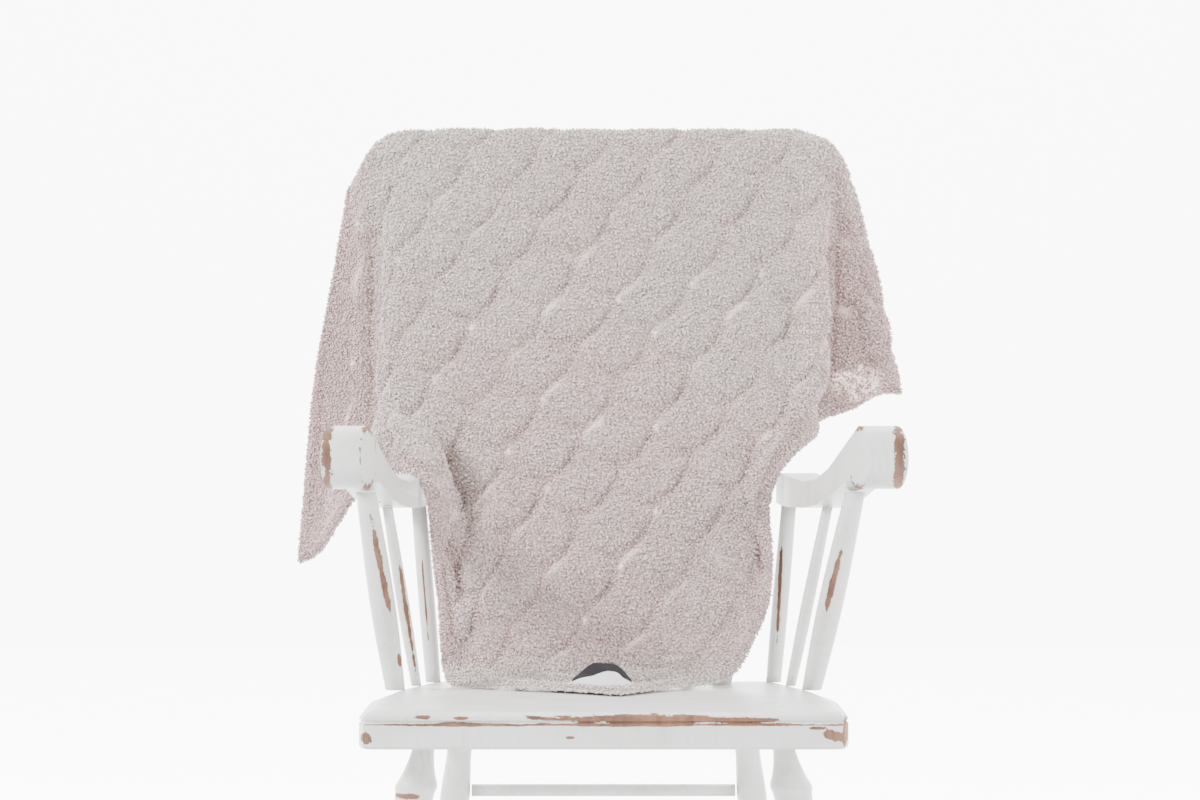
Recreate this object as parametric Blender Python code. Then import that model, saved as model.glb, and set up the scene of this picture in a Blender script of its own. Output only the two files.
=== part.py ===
"""Cable knit blanket hung cornerwise over the back of a painted wooden armchair.

Metres, +Z up. X runs along the crest rail, Y from the front of the chair to its back, and the floor is z = 0.
The blanket is one sheet. Its flat shape is a slightly skewed rectangle that lies cornerwise over the crest
rail: one corner rests on the seat, one hangs beside each end of the rail, and one hangs behind the chair.
"""

import math

import bmesh
import bpy
import numpy as np
from mathutils import Vector
from mathutils.bvhtree import BVHTree

GAP = 0.0003

# Chair: heights, the middle plane and the lean of its back
MIDDLE = 0.004
SEAT_TOP = 0.440
SEAT_LOW = 0.400
SEAT_FRONT = -0.250
SEAT_BACK = 0.200
LEAN = math.radians(19.0)
CREST_Y = 0.360
CREST_TOP = 1.0858
CREST_LOW = 1.013
CREST_THICK = 0.018
CREST_HALF = 0.259
CREST_CORNER = 0.045
SIDES = 16

# Seat outline seen from above, right half: distance out from the middle plane and depth
SEAT_PLAN = (
    # out, y
    (0.242, SEAT_FRONT),
    (0.255, SEAT_FRONT + 0.004),
    (0.260, SEAT_FRONT + 0.017),
    (0.260, -0.085),
    (0.236, 0.075),
    (0.206, SEAT_BACK - 0.012),
    (0.194, SEAT_BACK),
)

# Seat edge: height and how far the outline is drawn in, with a groove under the rolled top
SEAT_EDGE = (
    # z, inset
    (SEAT_LOW, 0.003),
    (SEAT_LOW + 0.003, 0.0),
    (0.4275, 0.0),
    (0.4285, 0.0025),
    (0.4300, 0.0025),
    (0.4310, 0.0),
    (0.4350, 0.0015),
    (0.4385, 0.0060),
    (SEAT_TOP, 0.0140),
)

# Legs: share of the way from seat to floor and radius of each turning
FRONT_LEG = (
    # share, radius
    (0.000, 0.0120),
    (0.030, 0.0125),
    (0.075, 0.0165),
    (0.105, 0.0215),
    (0.115, 0.0235),
    (0.130, 0.0235),
    (0.140, 0.0205),
    (0.230, 0.0235),
    (0.420, 0.0170),
    (0.620, 0.0190),
    (0.640, 0.0215),
    (0.670, 0.0215),
    (0.690, 0.0170),
    (1.000, 0.0125),
)
RING_COUNT = 4
RING_PITCH = 0.0070
RING_RADIUS = 0.0195
RING_VALLEY = 0.0170
REAR_LEG_BELOW_RINGS = (
    # share, radius
    (0.080, 0.0135),
    (0.160, 0.0165),
    (0.260, 0.0190),
    (0.640, 0.0165),
    (0.660, 0.0190),
    (0.690, 0.0190),
    (0.710, 0.0155),
    (1.000, 0.0125),
)

# Arms: depth, height of the underside and of the top, then the round scroll in front
ARM_PROFILE = (
    # y, low, high
    (0.235, 0.648, 0.683),
    (0.205, 0.646, 0.684),
    (0.150, 0.645, 0.680),
    (0.080, 0.6465, 0.6765),
    (0.020, 0.652, 0.681),
    (-0.030, 0.662, 0.694),
    (-0.085, 0.679, 0.718),
)
ARM_REAR_Y = 0.235
ARM_FRONT_Y = -0.170
ARM_HALF = 0.0215
SCROLL_RADIUS = 0.0345
SCROLL_Y = -0.136
SCROLL_Z = 0.7075
SCROLL_NOTCH = -48.0
SCROLL_STEPS = 18

# Each side of the chair: names and the x of what stands there
SIDE_ROWS = (
    # name, sign, arm at rear, arm at front, stile foot
    ("left", -1, -0.2220, -0.2800, -0.133),
    ("right", 1, 0.2300, 0.3115, 0.141),
)

# Posts under each arm, from the seat to the arm's underside
ARM_POSTS = (
    # name, foot y, head y, foot out, head out from the arm's middle, end radius, middle radius
    ("front", 0.056, -0.062, 0.2370, -0.001, 0.0115, 0.0150),
    ("middle", 0.116, 0.040, 0.2160, -0.003, 0.0060, 0.0075),
    ("rear", 0.176, 0.205, 0.1990, -0.0115, 0.0090, 0.0100),
)

STILE_RADIUS_FOOT = 0.0120
STILE_RADIUS_ARM = 0.0160
STILE_RADIUS_HEAD = 0.0120
STILE_HEAD_OUT = 0.230
STILE_BEHIND = 0.0235
SPINDLE_COUNT = 5
SPINDLE_RADIUS = 0.0075
SPINDLE_FOOT_SPAN = 0.190
SPINDLE_HEAD_SPAN = 0.380

FRONT_FOOT_OUT, FRONT_LEG_OUT = 0.268, 0.194
FRONT_FOOT_Y, FRONT_LEG_Y = -0.185, -0.150
REAR_FOOT_OUT, REAR_LEG_OUT = 0.205, 0.163
REAR_FOOT_Y, REAR_LEG_Y = 0.240, 0.118
STRETCHERS = (
    # name, from leg, to leg, height, radius
    ("stretcher_rear", "rear_left", "rear_right", 0.317, 0.0075),
    ("stretcher_front", "front_left", "front_right", 0.165, 0.0085),
    ("stretcher_left", "front_left", "rear_left", 0.195, 0.0085),
    ("stretcher_right", "front_right", "rear_right", 0.195, 0.0085),
)

# Blanket, flat: a runs along the crest rail and b down the front, from the crest's middle
FRONT_CORNER = (0.020, 0.860)
LONG_SIDE = 1.040
LONG_TURN = math.radians(56.0)
SHORT_SIDE = 0.790
SHORT_TURN = math.radians(39.3)
LONG_STEPS = 54
CLOTH_THICK = 0.0040
EDGE_THICK = 0.0030

# Cables: rounded lobes in columns that run along the long side, between plain borders
COLUMN_PITCH = 0.0630
COLUMN_COUNT = 11
STEPS_PER_COLUMN = 4
BORDER_STEPS = (2, 3)
LOBE_PITCH = 0.0772
LOBE_DRIFT = 0.097
LOBE_LEAN = 0.15
LOBE_PHASE = 0.212
LOBE_RISE = 0.0055
PLAIN_BORDER = 0.0345
BORDER_FADE = 0.016

# Drape over the crest rail, seen from the side
ROLL = 0.0260
ROLL_TOP = 1.1030
BACK_HANG = math.radians(6.0)
SEAT_BEND = 0.034
LAP_LIFT = 0.0042
REST_GAP = 0.0005

# Drape beside each end of the crest rail: the cloth there opens like a fan about the end's top.
# Fan angle 0 lies straight down the front, 90 along the rail and 180 down the back.
FAN_START = 0.252
RIM_ROLL = 0.045
FAN_ROLL = (
    # fan angle, out, back, up: how far the hang line starts from the end's top, in metres
    (0, 0.000, -0.0141, 0.0129),
    (10, 0.014, -0.0120, 0.0140),
    (45, 0.017, -0.0060, 0.0180),
    (90, 0.028, 0.0000, 0.0235),
    (135, 0.015, 0.0110, 0.0190),
    (180, 0.000, 0.0219, 0.0146),
)
FAN_RIGHT = (
    # fan angle, tilt out, tilt back, stretch
    (0, 0.0, -19.0, 1.00),
    (10, 1.6, -17.0, 1.00),
    (22, -2.2, -8.0, 1.13),
    (35, -4.2, -1.0, 1.30),
    (62, 6.3, -3.0, 1.28),
    (90, 13.8, -6.0, 1.04),
    (120, 12.0, 7.0, 1.00),
    (150, 4.0, 11.0, 1.00),
    (180, 0.0, 6.0, 1.00),
)
FAN_LEFT = (
    # fan angle, tilt out, tilt back, stretch
    (0, 0.0, -19.0, 1.00),
    (10, -0.6, -17.0, 1.00),
    (22, -5.4, -4.0, 1.06),
    (33, 3.6, -2.0, 1.10),
    (44, 12.2, 0.5, 1.105),
    (51, 15.0, 2.0, 1.10),
    (90, 17.0, 6.0, 1.05),
    (135, 7.5, 9.0, 1.00),
    (180, 0.0, 6.0, 1.00),
)

# Narrowing: below the crest the cloth draws in towards the middle
NARROWING = (
    # z, left in, right in
    (0.440, 0.000, 0.000),
    (0.700, 0.006, 0.006),
    (0.980, 0.000, 0.000),
    (1.080, 0.000, 0.000),
)

# Known points: where a point of the flat cloth lies on the chair, and how far its pull reaches
PINNED = (
    # a, b, x, y, z, reach
    (0.020, 0.860, 0.022, -0.046, 0.4442, 0.080),
    (-0.110, 0.754, -0.108, 0.045, 0.4446, 0.070),
    (-0.200, 0.680, -0.178, 0.105, 0.4490, 0.060),
    (-0.250, 0.639, -0.186, 0.130, 0.5000, 0.055),
    (-0.300, 0.598, -0.193, 0.140, 0.5750, 0.055),
    (-0.345, 0.561, -0.198, 0.140, 0.6450, 0.050),
    (-0.375, 0.537, -0.209, 0.146, 0.7020, 0.045),
    (-0.410, 0.508, -0.245, 0.178, 0.7060, 0.050),
    (-0.450, 0.475, -0.275, 0.222, 0.6780, 0.055),
    (-0.510, 0.426, -0.316, 0.285, 0.6190, 0.065),
    (-0.591, 0.360, -0.366, 0.360, 0.5740, 0.080),
    (-0.210, 0.590, -0.165, 0.152, 0.5350, 0.060),
    (-0.235, 0.520, -0.172, 0.170, 0.6150, 0.060),
    (-0.270, 0.465, -0.193, 0.170, 0.7000, 0.055),
    (-0.310, 0.525, -0.189, 0.160, 0.6650, 0.045),
    (-0.325, 0.480, -0.204, 0.164, 0.7220, 0.045),
    (-0.360, 0.430, -0.255, 0.205, 0.7300, 0.060),
    (-0.420, 0.400, -0.292, 0.268, 0.7000, 0.065),
    (-0.280, 0.330, -0.259, 0.232, 0.7900, 0.070),
    (0.303, 0.378, 0.238, 0.213, 0.7480, 0.050),
    (0.275, 0.412, 0.211, 0.198, 0.7220, 0.045),
    (0.253, 0.440, 0.190, 0.185, 0.6900, 0.045),
    (0.233, 0.476, 0.180, 0.175, 0.6500, 0.045),
    (0.330, 0.400, 0.254, 0.215, 0.7280, 0.055),
    (0.305, 0.437, 0.221, 0.200, 0.7060, 0.045),
    (0.285, 0.466, 0.1970, 0.188, 0.6700, 0.045),
    (0.262, 0.500, 0.1940, 0.176, 0.6270, 0.050),
    (0.222, 0.560, 0.2000, 0.160, 0.5710, 0.055),
    (0.190, 0.607, 0.1945, 0.146, 0.5280, 0.055),
    (0.150, 0.667, 0.1670, 0.115, 0.4725, 0.050),
    (0.130, 0.697, 0.1530, 0.090, 0.4510, 0.045),
    (0.110, 0.726, 0.1260, 0.068, 0.4450, 0.050),
)

# Folds: soft ridges and troughs between two points of the flat cloth
FOLDS = (
    # a1, b1, a2, b2, half width, height
    (-0.165, 0.470, -0.215, 0.445, 0.022, -0.012),
    (-0.235, 0.445, -0.300, 0.455, 0.024, 0.010),
    (-0.170, 0.560, -0.120, 0.500, 0.020, 0.007),
    (-0.200, 0.590, -0.190, 0.520, 0.016, -0.006),
    (-0.150, 0.660, -0.090, 0.600, 0.018, 0.006),
    (0.205, 0.560, 0.180, 0.440, 0.018, -0.008),
    (0.160, 0.640, 0.130, 0.450, 0.018, 0.005),
    (0.235, 0.420, 0.225, 0.250, 0.016, -0.006),
)
FAIRING_PASSES = 7

# Label: a satin tab that arches up from the cloth near the front corner
LABEL_WIDTH = 0.070
LABEL_DEPTH = 0.026
LABEL_THICK = 0.0010
LABEL_SEAT = 0.0006
LABEL_RISE = 0.022
LABEL_X = 0.002
LABEL_Y = 0.011
LABEL_ACROSS = 14
LABEL_ALONG = 5

COLOURS = (
    # name, colour, roughness, metallic
    ("painted wood", (0.84, 0.84, 0.82), 0.45, 0.0),
    ("chenille knit", (0.60, 0.54, 0.51), 0.95, 0.0),
    ("satin tab", (0.85, 0.85, 0.87), 0.40, 0.0),
)


def clear_scene():
    for thing in list(bpy.data.objects):
        bpy.data.objects.remove(thing, do_unlink=True)


def make_material(name, colour, roughness, metallic):
    material = bpy.data.materials.new(name)
    material.use_nodes = True
    shader = material.node_tree.nodes["Principled BSDF"]
    shader.inputs["Base Color"].default_value = (*colour, 1.0)
    shader.inputs["Roughness"].default_value = roughness
    shader.inputs["Metallic"].default_value = metallic
    return material


def add_solid(name, points, faces, material):
    mesh = bpy.data.meshes.new(name)
    mesh.from_pydata([tuple(map(float, point)) for point in points], [], faces)
    mesh.update()
    shape = bmesh.new()
    shape.from_mesh(mesh)
    if shape.calc_volume(signed=True) < 0:
        bmesh.ops.reverse_faces(shape, faces=shape.faces)
    shape.to_mesh(mesh)
    shape.free()
    mesh.materials.append(bpy.data.materials[material])
    piece = bpy.data.objects.new(name, mesh)
    bpy.context.scene.collection.objects.link(piece)
    return piece


def loft(rings):
    """Points and faces of a solid through rings of equal count."""
    count = len(rings[0])
    points = [point for ring in rings for point in ring]
    faces = [tuple(reversed(range(count)))]
    for level in range(len(rings) - 1):
        low, high = level * count, (level + 1) * count
        for i in range(count):
            j = (i + 1) % count
            faces.append((low + i, low + j, high + j, high + i))
    last = (len(rings) - 1) * count
    faces.append(tuple(range(last, last + count)))
    return points, faces


def level_ring(centre, radius, sides=SIDES):
    turns = [2 * math.pi * i / sides for i in range(sides)]
    return [
        (centre[0] + radius * math.cos(t), centre[1] + radius * math.sin(t), centre[2])
        for t in turns
    ]


def turned(name, low, high, rows, sides=SIDES):
    """A turned post between two points. Its rings lie level, so its ends sit flat; rows: share, radius."""
    low, high = Vector(low), Vector(high)
    rings = [level_ring(low.lerp(high, share), radius, sides) for share, radius in rows]
    return add_solid(name, *loft(rings), "painted wood")


def bent_post(name, stations):
    """A turned post through several points; stations: point, radius."""
    rings = [level_ring(point, radius) for point, radius in stations]
    return add_solid(name, *loft(rings), "painted wood")


def bar(name, start, end, radius, sides=12):
    """A round bar square to its own length."""
    start, end = Vector(start), Vector(end)
    along = (end - start).normalized()
    side = along.cross(Vector((0, 0, 1))).normalized()
    up = side.cross(along)
    turns = [2 * math.pi * i / sides for i in range(sides)]
    rings = [
        [tuple(at + radius * (math.cos(t) * up + math.sin(t) * side)) for t in turns]
        for at in (start, end)
    ]
    return add_solid(name, *loft(rings), "painted wood")


def make_seat():
    half = [Vector((out, y)) for out, y in SEAT_PLAN]
    outline = half + [Vector((-p.x, p.y)) for p in reversed(half)]
    count = len(outline)
    normals = []
    for i in range(count):
        edge = outline[(i + 1) % count] - outline[i - 1]
        normals.append(Vector((edge.y, -edge.x)).normalized())
    rings = [
        [(MIDDLE + p.x - n.x * inset, p.y - n.y * inset, z) for p, n in zip(outline, normals)]
        for z, inset in SEAT_EDGE
    ]
    add_solid("seat", *loft(rings), "painted wood")


def leg_ends(row, sign):
    foot_out, foot_y = (FRONT_FOOT_OUT, FRONT_FOOT_Y) if row == "front" else (REAR_FOOT_OUT, REAR_FOOT_Y)
    top_out, top_y = (FRONT_LEG_OUT, FRONT_LEG_Y) if row == "front" else (REAR_LEG_OUT, REAR_LEG_Y)
    foot = Vector((MIDDLE + sign * foot_out, foot_y, 0.0))
    top = Vector((MIDDLE + sign * top_out, top_y, SEAT_LOW - GAP))
    return foot, top


def rear_leg_rows():
    rows = [(0.0, RING_VALLEY)]
    length = SEAT_LOW - GAP
    for i in range(RING_COUNT):
        start = i * RING_PITCH / length
        rows += [
            (start + 0.25 * RING_PITCH / length, RING_RADIUS),
            (start + 0.75 * RING_PITCH / length, RING_RADIUS),
            (start + RING_PITCH / length, RING_VALLEY),
        ]
    return rows + list(REAR_LEG_BELOW_RINGS)


def radius_at(rows, share):
    return float(np.interp(share, [row[0] for row in rows], [row[1] for row in rows]))


def make_legs():
    for row, rows in (("front", FRONT_LEG), ("rear", rear_leg_rows())):
        for name, sign, *_ in SIDE_ROWS:
            foot, top = leg_ends(row, sign)
            upward = [(1 - share, radius) for share, radius in reversed(rows)]
            turned(f"leg_{row}_{name}", foot, top, upward)


def make_stretchers():
    signs = {name: sign for name, sign, *_ in SIDE_ROWS}
    for name, *legs, height, radius in STRETCHERS:
        ends = []
        for leg in legs:
            row, side = leg.split("_")
            foot, top = leg_ends(row, signs[side])
            rows = FRONT_LEG if row == "front" else rear_leg_rows()
            share = height / top.z
            ends.append((foot.lerp(top, share), (top - foot) / top.z, radius_at(rows, 1 - share)))
        along = (ends[1][0] - ends[0][0]).normalized()
        tips = []
        for (centre, lean, leg_radius), inward in zip(ends, (along, -along)):
            room = radius * abs(lean.dot(inward)) + GAP
            tips.append(centre + inward * (leg_radius + room))
        bar(name, *tips, radius)


def arm_low(y):
    rows = sorted(ARM_PROFILE)
    return float(np.interp(y, [row[0] for row in rows], [row[1] for row in rows]))


def arm_middle(y, rear_x, front_x):
    """The arm swings outward towards its scroll."""
    share = (ARM_REAR_Y - y) / (ARM_REAR_Y - ARM_FRONT_Y)
    return rear_x + (front_x - rear_x) * (0.6 * share + 0.4 * share * share)


def make_arms():
    start, stop = math.radians(SCROLL_NOTCH), math.radians(-270.0)
    turns = [start + (stop - start) * i / SCROLL_STEPS for i in range(SCROLL_STEPS + 1)]
    scroll = [
        (SCROLL_Y + SCROLL_RADIUS * math.cos(t), SCROLL_Z + SCROLL_RADIUS * math.sin(t)) for t in turns
    ]
    under = [(y, low) for y, low, _ in ARM_PROFILE]
    over = [(y, high) for y, _, high in reversed(ARM_PROFILE)]
    outline = under + scroll + over
    for name, _, rear_x, front_x, _ in SIDE_ROWS:
        rings = [
            [(arm_middle(y, rear_x, front_x) + shift, y, z) for y, z in outline]
            for shift in (ARM_HALF, ARM_HALF - 0.004, -ARM_HALF + 0.004, -ARM_HALF)
        ]
        points, faces = loft(rings)
        add_solid(f"arm_{name}", points, faces, "painted wood")


def make_arm_posts():
    for side, sign, rear_x, front_x, _ in SIDE_ROWS:
        for name, foot_y, head_y, foot_out, head_shift, end_radius, mid_radius in ARM_POSTS:
            head_z = min(arm_low(head_y - end_radius), arm_low(head_y + end_radius)) - GAP
            head_x = arm_middle(head_y, rear_x, front_x) + sign * head_shift
            rows = ((0.0, end_radius), (0.3, mid_radius), (0.6, mid_radius), (1.0, end_radius))
            turned(
                f"arm_post_{name}_{side}",
                (MIDDLE + sign * foot_out, foot_y, SEAT_TOP + GAP),
                (head_x, head_y, head_z),
                rows,
            )


def back_y(z):
    """Depth of the crest rail's middle plane carried down the lean."""
    return CREST_Y - (CREST_TOP - CREST_THICK / 2 - z) * math.tan(LEAN)


def make_crest():
    half = CREST_HALF - CREST_CORNER
    turns = [math.pi / 2 * i / 6 for i in range(7)]
    upper = [
        (half + CREST_CORNER * math.cos(t), CREST_TOP - CREST_CORNER + CREST_CORNER * math.sin(t))
        for t in turns
    ]
    outline = [(CREST_HALF - 0.012, CREST_LOW)] + upper + [(-x, z) for x, z in reversed(upper)]
    outline.append((-CREST_HALF + 0.012, CREST_LOW))
    centre_z = (CREST_TOP + CREST_LOW) / 2
    rings = []
    for depth, draw in ((0.5, 0.008), (0.2, 0.0), (-0.2, 0.0), (-0.5, 0.008)):
        ring = []
        for x, z in outline:
            x -= math.copysign(draw, x)
            z = z - draw if z > centre_z else z
            ring.append((MIDDLE + x, back_y(z) + depth * CREST_THICK, z))
        rings.append(ring)
    add_solid("crest_rail", *loft(rings), "painted wood")


def make_back():
    foot_y = back_y(SEAT_TOP) + STILE_BEHIND - CREST_THICK
    head_z = CREST_LOW - GAP
    for name, sign, rear_x, _, foot_x in SIDE_ROWS:
        arm_z = ARM_PROFILE[0][2]
        arm_x = rear_x - sign * (ARM_HALF + STILE_RADIUS_ARM + 2 * GAP)
        stations = (
            ((foot_x, foot_y, SEAT_TOP + GAP), STILE_RADIUS_FOOT),
            ((arm_x, back_y(arm_z), arm_z), STILE_RADIUS_ARM),
            ((MIDDLE + sign * STILE_HEAD_OUT, back_y(head_z), head_z), STILE_RADIUS_HEAD),
        )
        bent_post(f"back_stile_{name}", stations)
    for i in range(SPINDLE_COUNT):
        place = i / (SPINDLE_COUNT - 1) - 0.5
        foot = (MIDDLE + place * SPINDLE_FOOT_SPAN, foot_y, SEAT_TOP + GAP)
        head = (MIDDLE + place * SPINDLE_HEAD_SPAN, back_y(head_z), head_z)
        rows = ((0.0, SPINDLE_RADIUS), (1.0, SPINDLE_RADIUS))
        turned(f"back_spindle_{i + 1}", foot, head, rows, sides=10)


def two_faced_sheet(name, face, under, material):
    """One closed solid between two grids of points, joined round their rims."""
    rows, columns = face.shape[:2]
    count = rows * columns
    points = np.concatenate([face.reshape(-1, 3), under.reshape(-1, 3)])
    faces = []
    for i in range(rows - 1):
        for j in range(columns - 1):
            one = i * columns + j
            quad = (one, one + columns, one + columns + 1, one + 1)
            faces.append(quad)
            faces.append(tuple(k + count for k in reversed(quad)))
    rim = list(range(columns - 1))
    rim += [i * columns + columns - 1 for i in range(rows - 1)]
    rim += [(rows - 1) * columns + j for j in range(columns - 1, 0, -1)]
    rim += [i * columns for i in range(rows - 1, 0, -1)]
    for one, other in zip(rim, rim[1:] + rim[:1]):
        faces.append((one, other, other + count, one + count))
    return add_solid(name, points, faces, material)


def side_profile(b):
    """Depth and height of the hanging cloth at distance b from the crest line, front positive."""
    centre_y, centre_z = CREST_Y, ROLL_TOP - ROLL
    front_turn = math.pi / 2 - LEAN
    back_turn = math.pi / 2 - BACK_HANG
    lap_z = SEAT_TOP + LAP_LIFT
    start_z = centre_z + ROLL * math.cos(front_turn)
    bend_z = lap_z + SEAT_BEND * (1 - math.cos(front_turn))
    straight = (start_z - bend_z) / math.cos(LEAN)
    arc = ROLL * front_turn
    bend = SEAT_BEND * front_turn

    on_front = np.clip(b, 0, arc)
    on_straight = np.clip(b - arc, 0, straight)
    on_bend = np.clip(b - arc - straight, 0, bend)
    on_lap = np.clip(b - arc - straight - bend, 0, None)
    on_back = np.clip(-b, 0, ROLL * back_turn)
    on_hang = np.clip(-b - ROLL * back_turn, 0, None)

    turn = on_front / ROLL
    left = front_turn - on_bend / SEAT_BEND
    y = centre_y - ROLL * np.sin(turn) - on_straight * math.sin(LEAN)
    y = y - SEAT_BEND * (math.sin(front_turn) - np.sin(left)) - on_lap
    z = centre_z + ROLL * np.cos(turn) - on_straight * math.cos(LEAN)
    z = z - SEAT_BEND * (np.cos(left) - math.cos(front_turn))
    turn = on_back / ROLL
    y = y + ROLL * np.sin(turn) + on_hang * math.sin(BACK_HANG)
    z = z - ROLL * (1 - np.cos(turn)) - on_hang * math.cos(BACK_HANG)
    return y, z


def fan(out, b, rows):
    """Place of cloth past the rail's end: out is the distance past the fan's top, along the rail."""
    reach = np.hypot(out, b)
    angle = np.degrees(np.arctan2(out, b))
    table = np.array(rows, float)
    tilt_out, tilt_back, stretch = (np.interp(angle, table[:, 0], table[:, i]) for i in (1, 2, 3))
    roll = np.array(FAN_ROLL, float)
    start = [np.interp(angle, roll[:, 0], roll[:, i]) for i in (1, 2, 3)]
    side, back = np.tan(np.radians(tilt_out)), np.tan(np.radians(tilt_back))
    length = reach * stretch / np.sqrt(1 + side**2 + back**2)
    ramp = np.clip(reach / (1.3 * ROLL + (1.3 * RIM_ROLL - 1.3 * ROLL) * np.sin(np.radians(angle))), 0, 1)
    ramp = ramp * (2 - ramp)
    return (
        start[0] * ramp + side * length,
        CREST_Y + start[1] * ramp + back * length,
        ROLL_TOP + start[2] * ramp - length,
    )


def hang(a, b):
    """The plain hang over the rail, before it is pinned and folded."""
    y, z = side_profile(b)
    x = np.array(a, float)
    for sign, rows in ((1, FAN_RIGHT), (-1, FAN_LEFT)):
        past = sign * (a - MIDDLE) - FAN_START
        beyond = past > 0
        fan_x, fan_y, fan_z = fan(np.maximum(past, 0), b, rows)
        low = SEAT_TOP + LAP_LIFT
        x = np.where(beyond, MIDDLE + sign * (FAN_START + fan_x), x)
        y = np.where(beyond & (fan_z > low), fan_y, y)
        z = np.where(beyond, np.maximum(fan_z, low), z)
    table = np.array(NARROWING, float)
    inward = np.where(
        a < MIDDLE, np.interp(z, table[:, 0], table[:, 1]), np.interp(z, table[:, 0], table[:, 2])
    )
    away = np.clip(np.abs(x - MIDDLE) / FAN_START, 0, 1) ** 3
    return np.stack([x - np.sign(x - MIDDLE) * inward * away, y, z], axis=-1)


def pin_weights():
    """Pulls that bring each known point to its place."""
    rows = np.array(PINNED, float)
    at, goal, reach = rows[:, :2], rows[:, 2:5], rows[:, 5]
    apart = np.linalg.norm(at[:, None] - at[None], axis=-1)
    share = np.exp(-((apart / reach[None]) ** 2))
    miss = goal - hang(at[:, 0], at[:, 1])
    return at, reach, np.linalg.solve(share, miss)


def pinned(a, b):
    points = hang(a, b)
    for (pin_a, pin_b), reach, pull in zip(*pin_weights()):
        apart = np.hypot(a - pin_a, b - pin_b)
        points = points + np.exp(-((apart / reach) ** 2))[..., None] * pull
    return points


def fair(points, passes):
    """Smooth a grid of points, its corners held, so that bends come out round."""
    for _ in range(passes):
        padded = np.pad(points, ((1, 1), (1, 1), (0, 0)), mode="edge")
        rows = (padded[:-2, 1:-1] + padded[2:, 1:-1]) / 2
        columns = (padded[1:-1, :-2] + padded[1:-1, 2:]) / 2
        rows[0], rows[-1] = points[0], points[-1]
        columns[:, 0], columns[:, -1] = points[:, 0], points[:, -1]
        points = points + 0.5 * ((rows + columns) / 2 - points)
    return points


def sheet_normals(points):
    along = np.gradient(points, axis=0)
    across = np.gradient(points, axis=1)
    normal = np.cross(along, across)
    return normal / np.linalg.norm(normal, axis=-1, keepdims=True)


def fold_heights(a, b):
    height = np.zeros_like(a)
    for a1, b1, a2, b2, half_width, rise in FOLDS:
        run_a, run_b = a2 - a1, b2 - b1
        share = np.clip(((a - a1) * run_a + (b - b1) * run_b) / (run_a**2 + run_b**2), 0, 1)
        apart = np.hypot(a - a1 - share * run_a, b - b1 - share * run_b)
        height = height + rise * np.exp(-((apart / half_width) ** 2))
    return height


def cable_relief(along, across):
    """Rise of the cables over the plain ground, at metres along and across the flat blanket."""
    place = (across - PLAIN_BORDER) / COLUMN_PITCH
    column = np.clip(np.floor(place), 0, COLUMN_COUNT - 1)
    side = np.clip(place - column - 0.5, -0.5, 0.5)
    step = along / LOBE_PITCH - LOBE_DRIFT * column + LOBE_LEAN * side + LOBE_PHASE
    step = step - np.floor(step) - 0.5
    lobe = np.cos(math.pi * side).clip(0) ** 0.8 * np.cos(math.pi * step * 0.92) ** 0.7
    end = np.minimum(along, LONG_SIDE - along)
    return LOBE_RISE * lobe * np.clip((end - PLAIN_BORDER) / BORDER_FADE, 0, 1)


def flat_grid():
    """Distances along and across the flat blanket, and its a and b. Grid lines lie along the cables' seams."""
    far_seam = PLAIN_BORDER + COLUMN_COUNT * COLUMN_PITCH
    lines = np.concatenate(
        [
            np.linspace(0, PLAIN_BORDER, BORDER_STEPS[0], endpoint=False),
            np.linspace(PLAIN_BORDER, far_seam, COLUMN_COUNT * STEPS_PER_COLUMN, endpoint=False),
            np.linspace(far_seam, SHORT_SIDE, BORDER_STEPS[1] + 1),
        ]
    )
    along, across = np.meshgrid(np.linspace(0, LONG_SIDE, LONG_STEPS + 1), lines, indexing="ij")
    a = FRONT_CORNER[0] + along * math.cos(LONG_TURN) - across * math.cos(SHORT_TURN)
    b = FRONT_CORNER[1] - along * math.sin(LONG_TURN) - across * math.sin(SHORT_TURN)
    return along, across, a, b


def make_blanket():
    along, across, a, b = flat_grid()
    middle = fair(pinned(a, b), FAIRING_PASSES)
    middle = middle + fold_heights(a, b)[..., None] * sheet_normals(middle)
    normal = sheet_normals(middle)
    thick = np.full_like(a, CLOTH_THICK)
    thick[0], thick[-1], thick[:, 0], thick[:, -1] = (EDGE_THICK,) * 4
    face = middle + (thick / 2 + cable_relief(along, across))[..., None] * normal
    under = middle - (thick / 2)[..., None] * normal
    under[..., 2] = np.maximum(under[..., 2], SEAT_TOP + REST_GAP)
    face[..., 2] = np.maximum(face[..., 2], SEAT_TOP + REST_GAP + EDGE_THICK)
    blanket = two_faced_sheet("blanket", face, under, "chenille knit")
    blanket.data.shade_smooth()
    return blanket


def make_label(blanket):
    """Tab sewn along its front edge. Its ends lie on the cloth and its middle arches up behind the seam."""
    mesh = blanket.data
    cloth = BVHTree.FromPolygons([v.co for v in mesh.vertices], [p.vertices for p in mesh.polygons])
    under = np.zeros((LABEL_ACROSS + 1, LABEL_ALONG + 1, 3))
    for i, side in enumerate(np.linspace(1, -1, LABEL_ACROSS + 1)):
        for j, share in enumerate(np.linspace(0, 1, LABEL_ALONG + 1)):
            x = LABEL_X + side * LABEL_WIDTH / 2
            y = LABEL_Y + LABEL_DEPTH * share
            cloth_z = cloth.ray_cast(Vector((x, y, 1.0)), Vector((0, 0, -1)))[0].z
            under[i, j] = x, y, cloth_z + LABEL_SEAT + LABEL_RISE * (1 - side * side) * share
    face = under + (0, 0, LABEL_THICK)
    two_faced_sheet("label", face, under, "satin tab")


def centre_on_floor():
    """Move everything so that the middle of its box stands over the origin."""
    corners = np.array([tuple(v.co) for thing in bpy.data.objects for v in thing.data.vertices])
    middle = (corners.max(axis=0) + corners.min(axis=0)) / 2
    for thing in bpy.data.objects:
        for vertex in thing.data.vertices:
            vertex.co.x -= middle[0]
            vertex.co.y -= middle[1]


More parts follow.
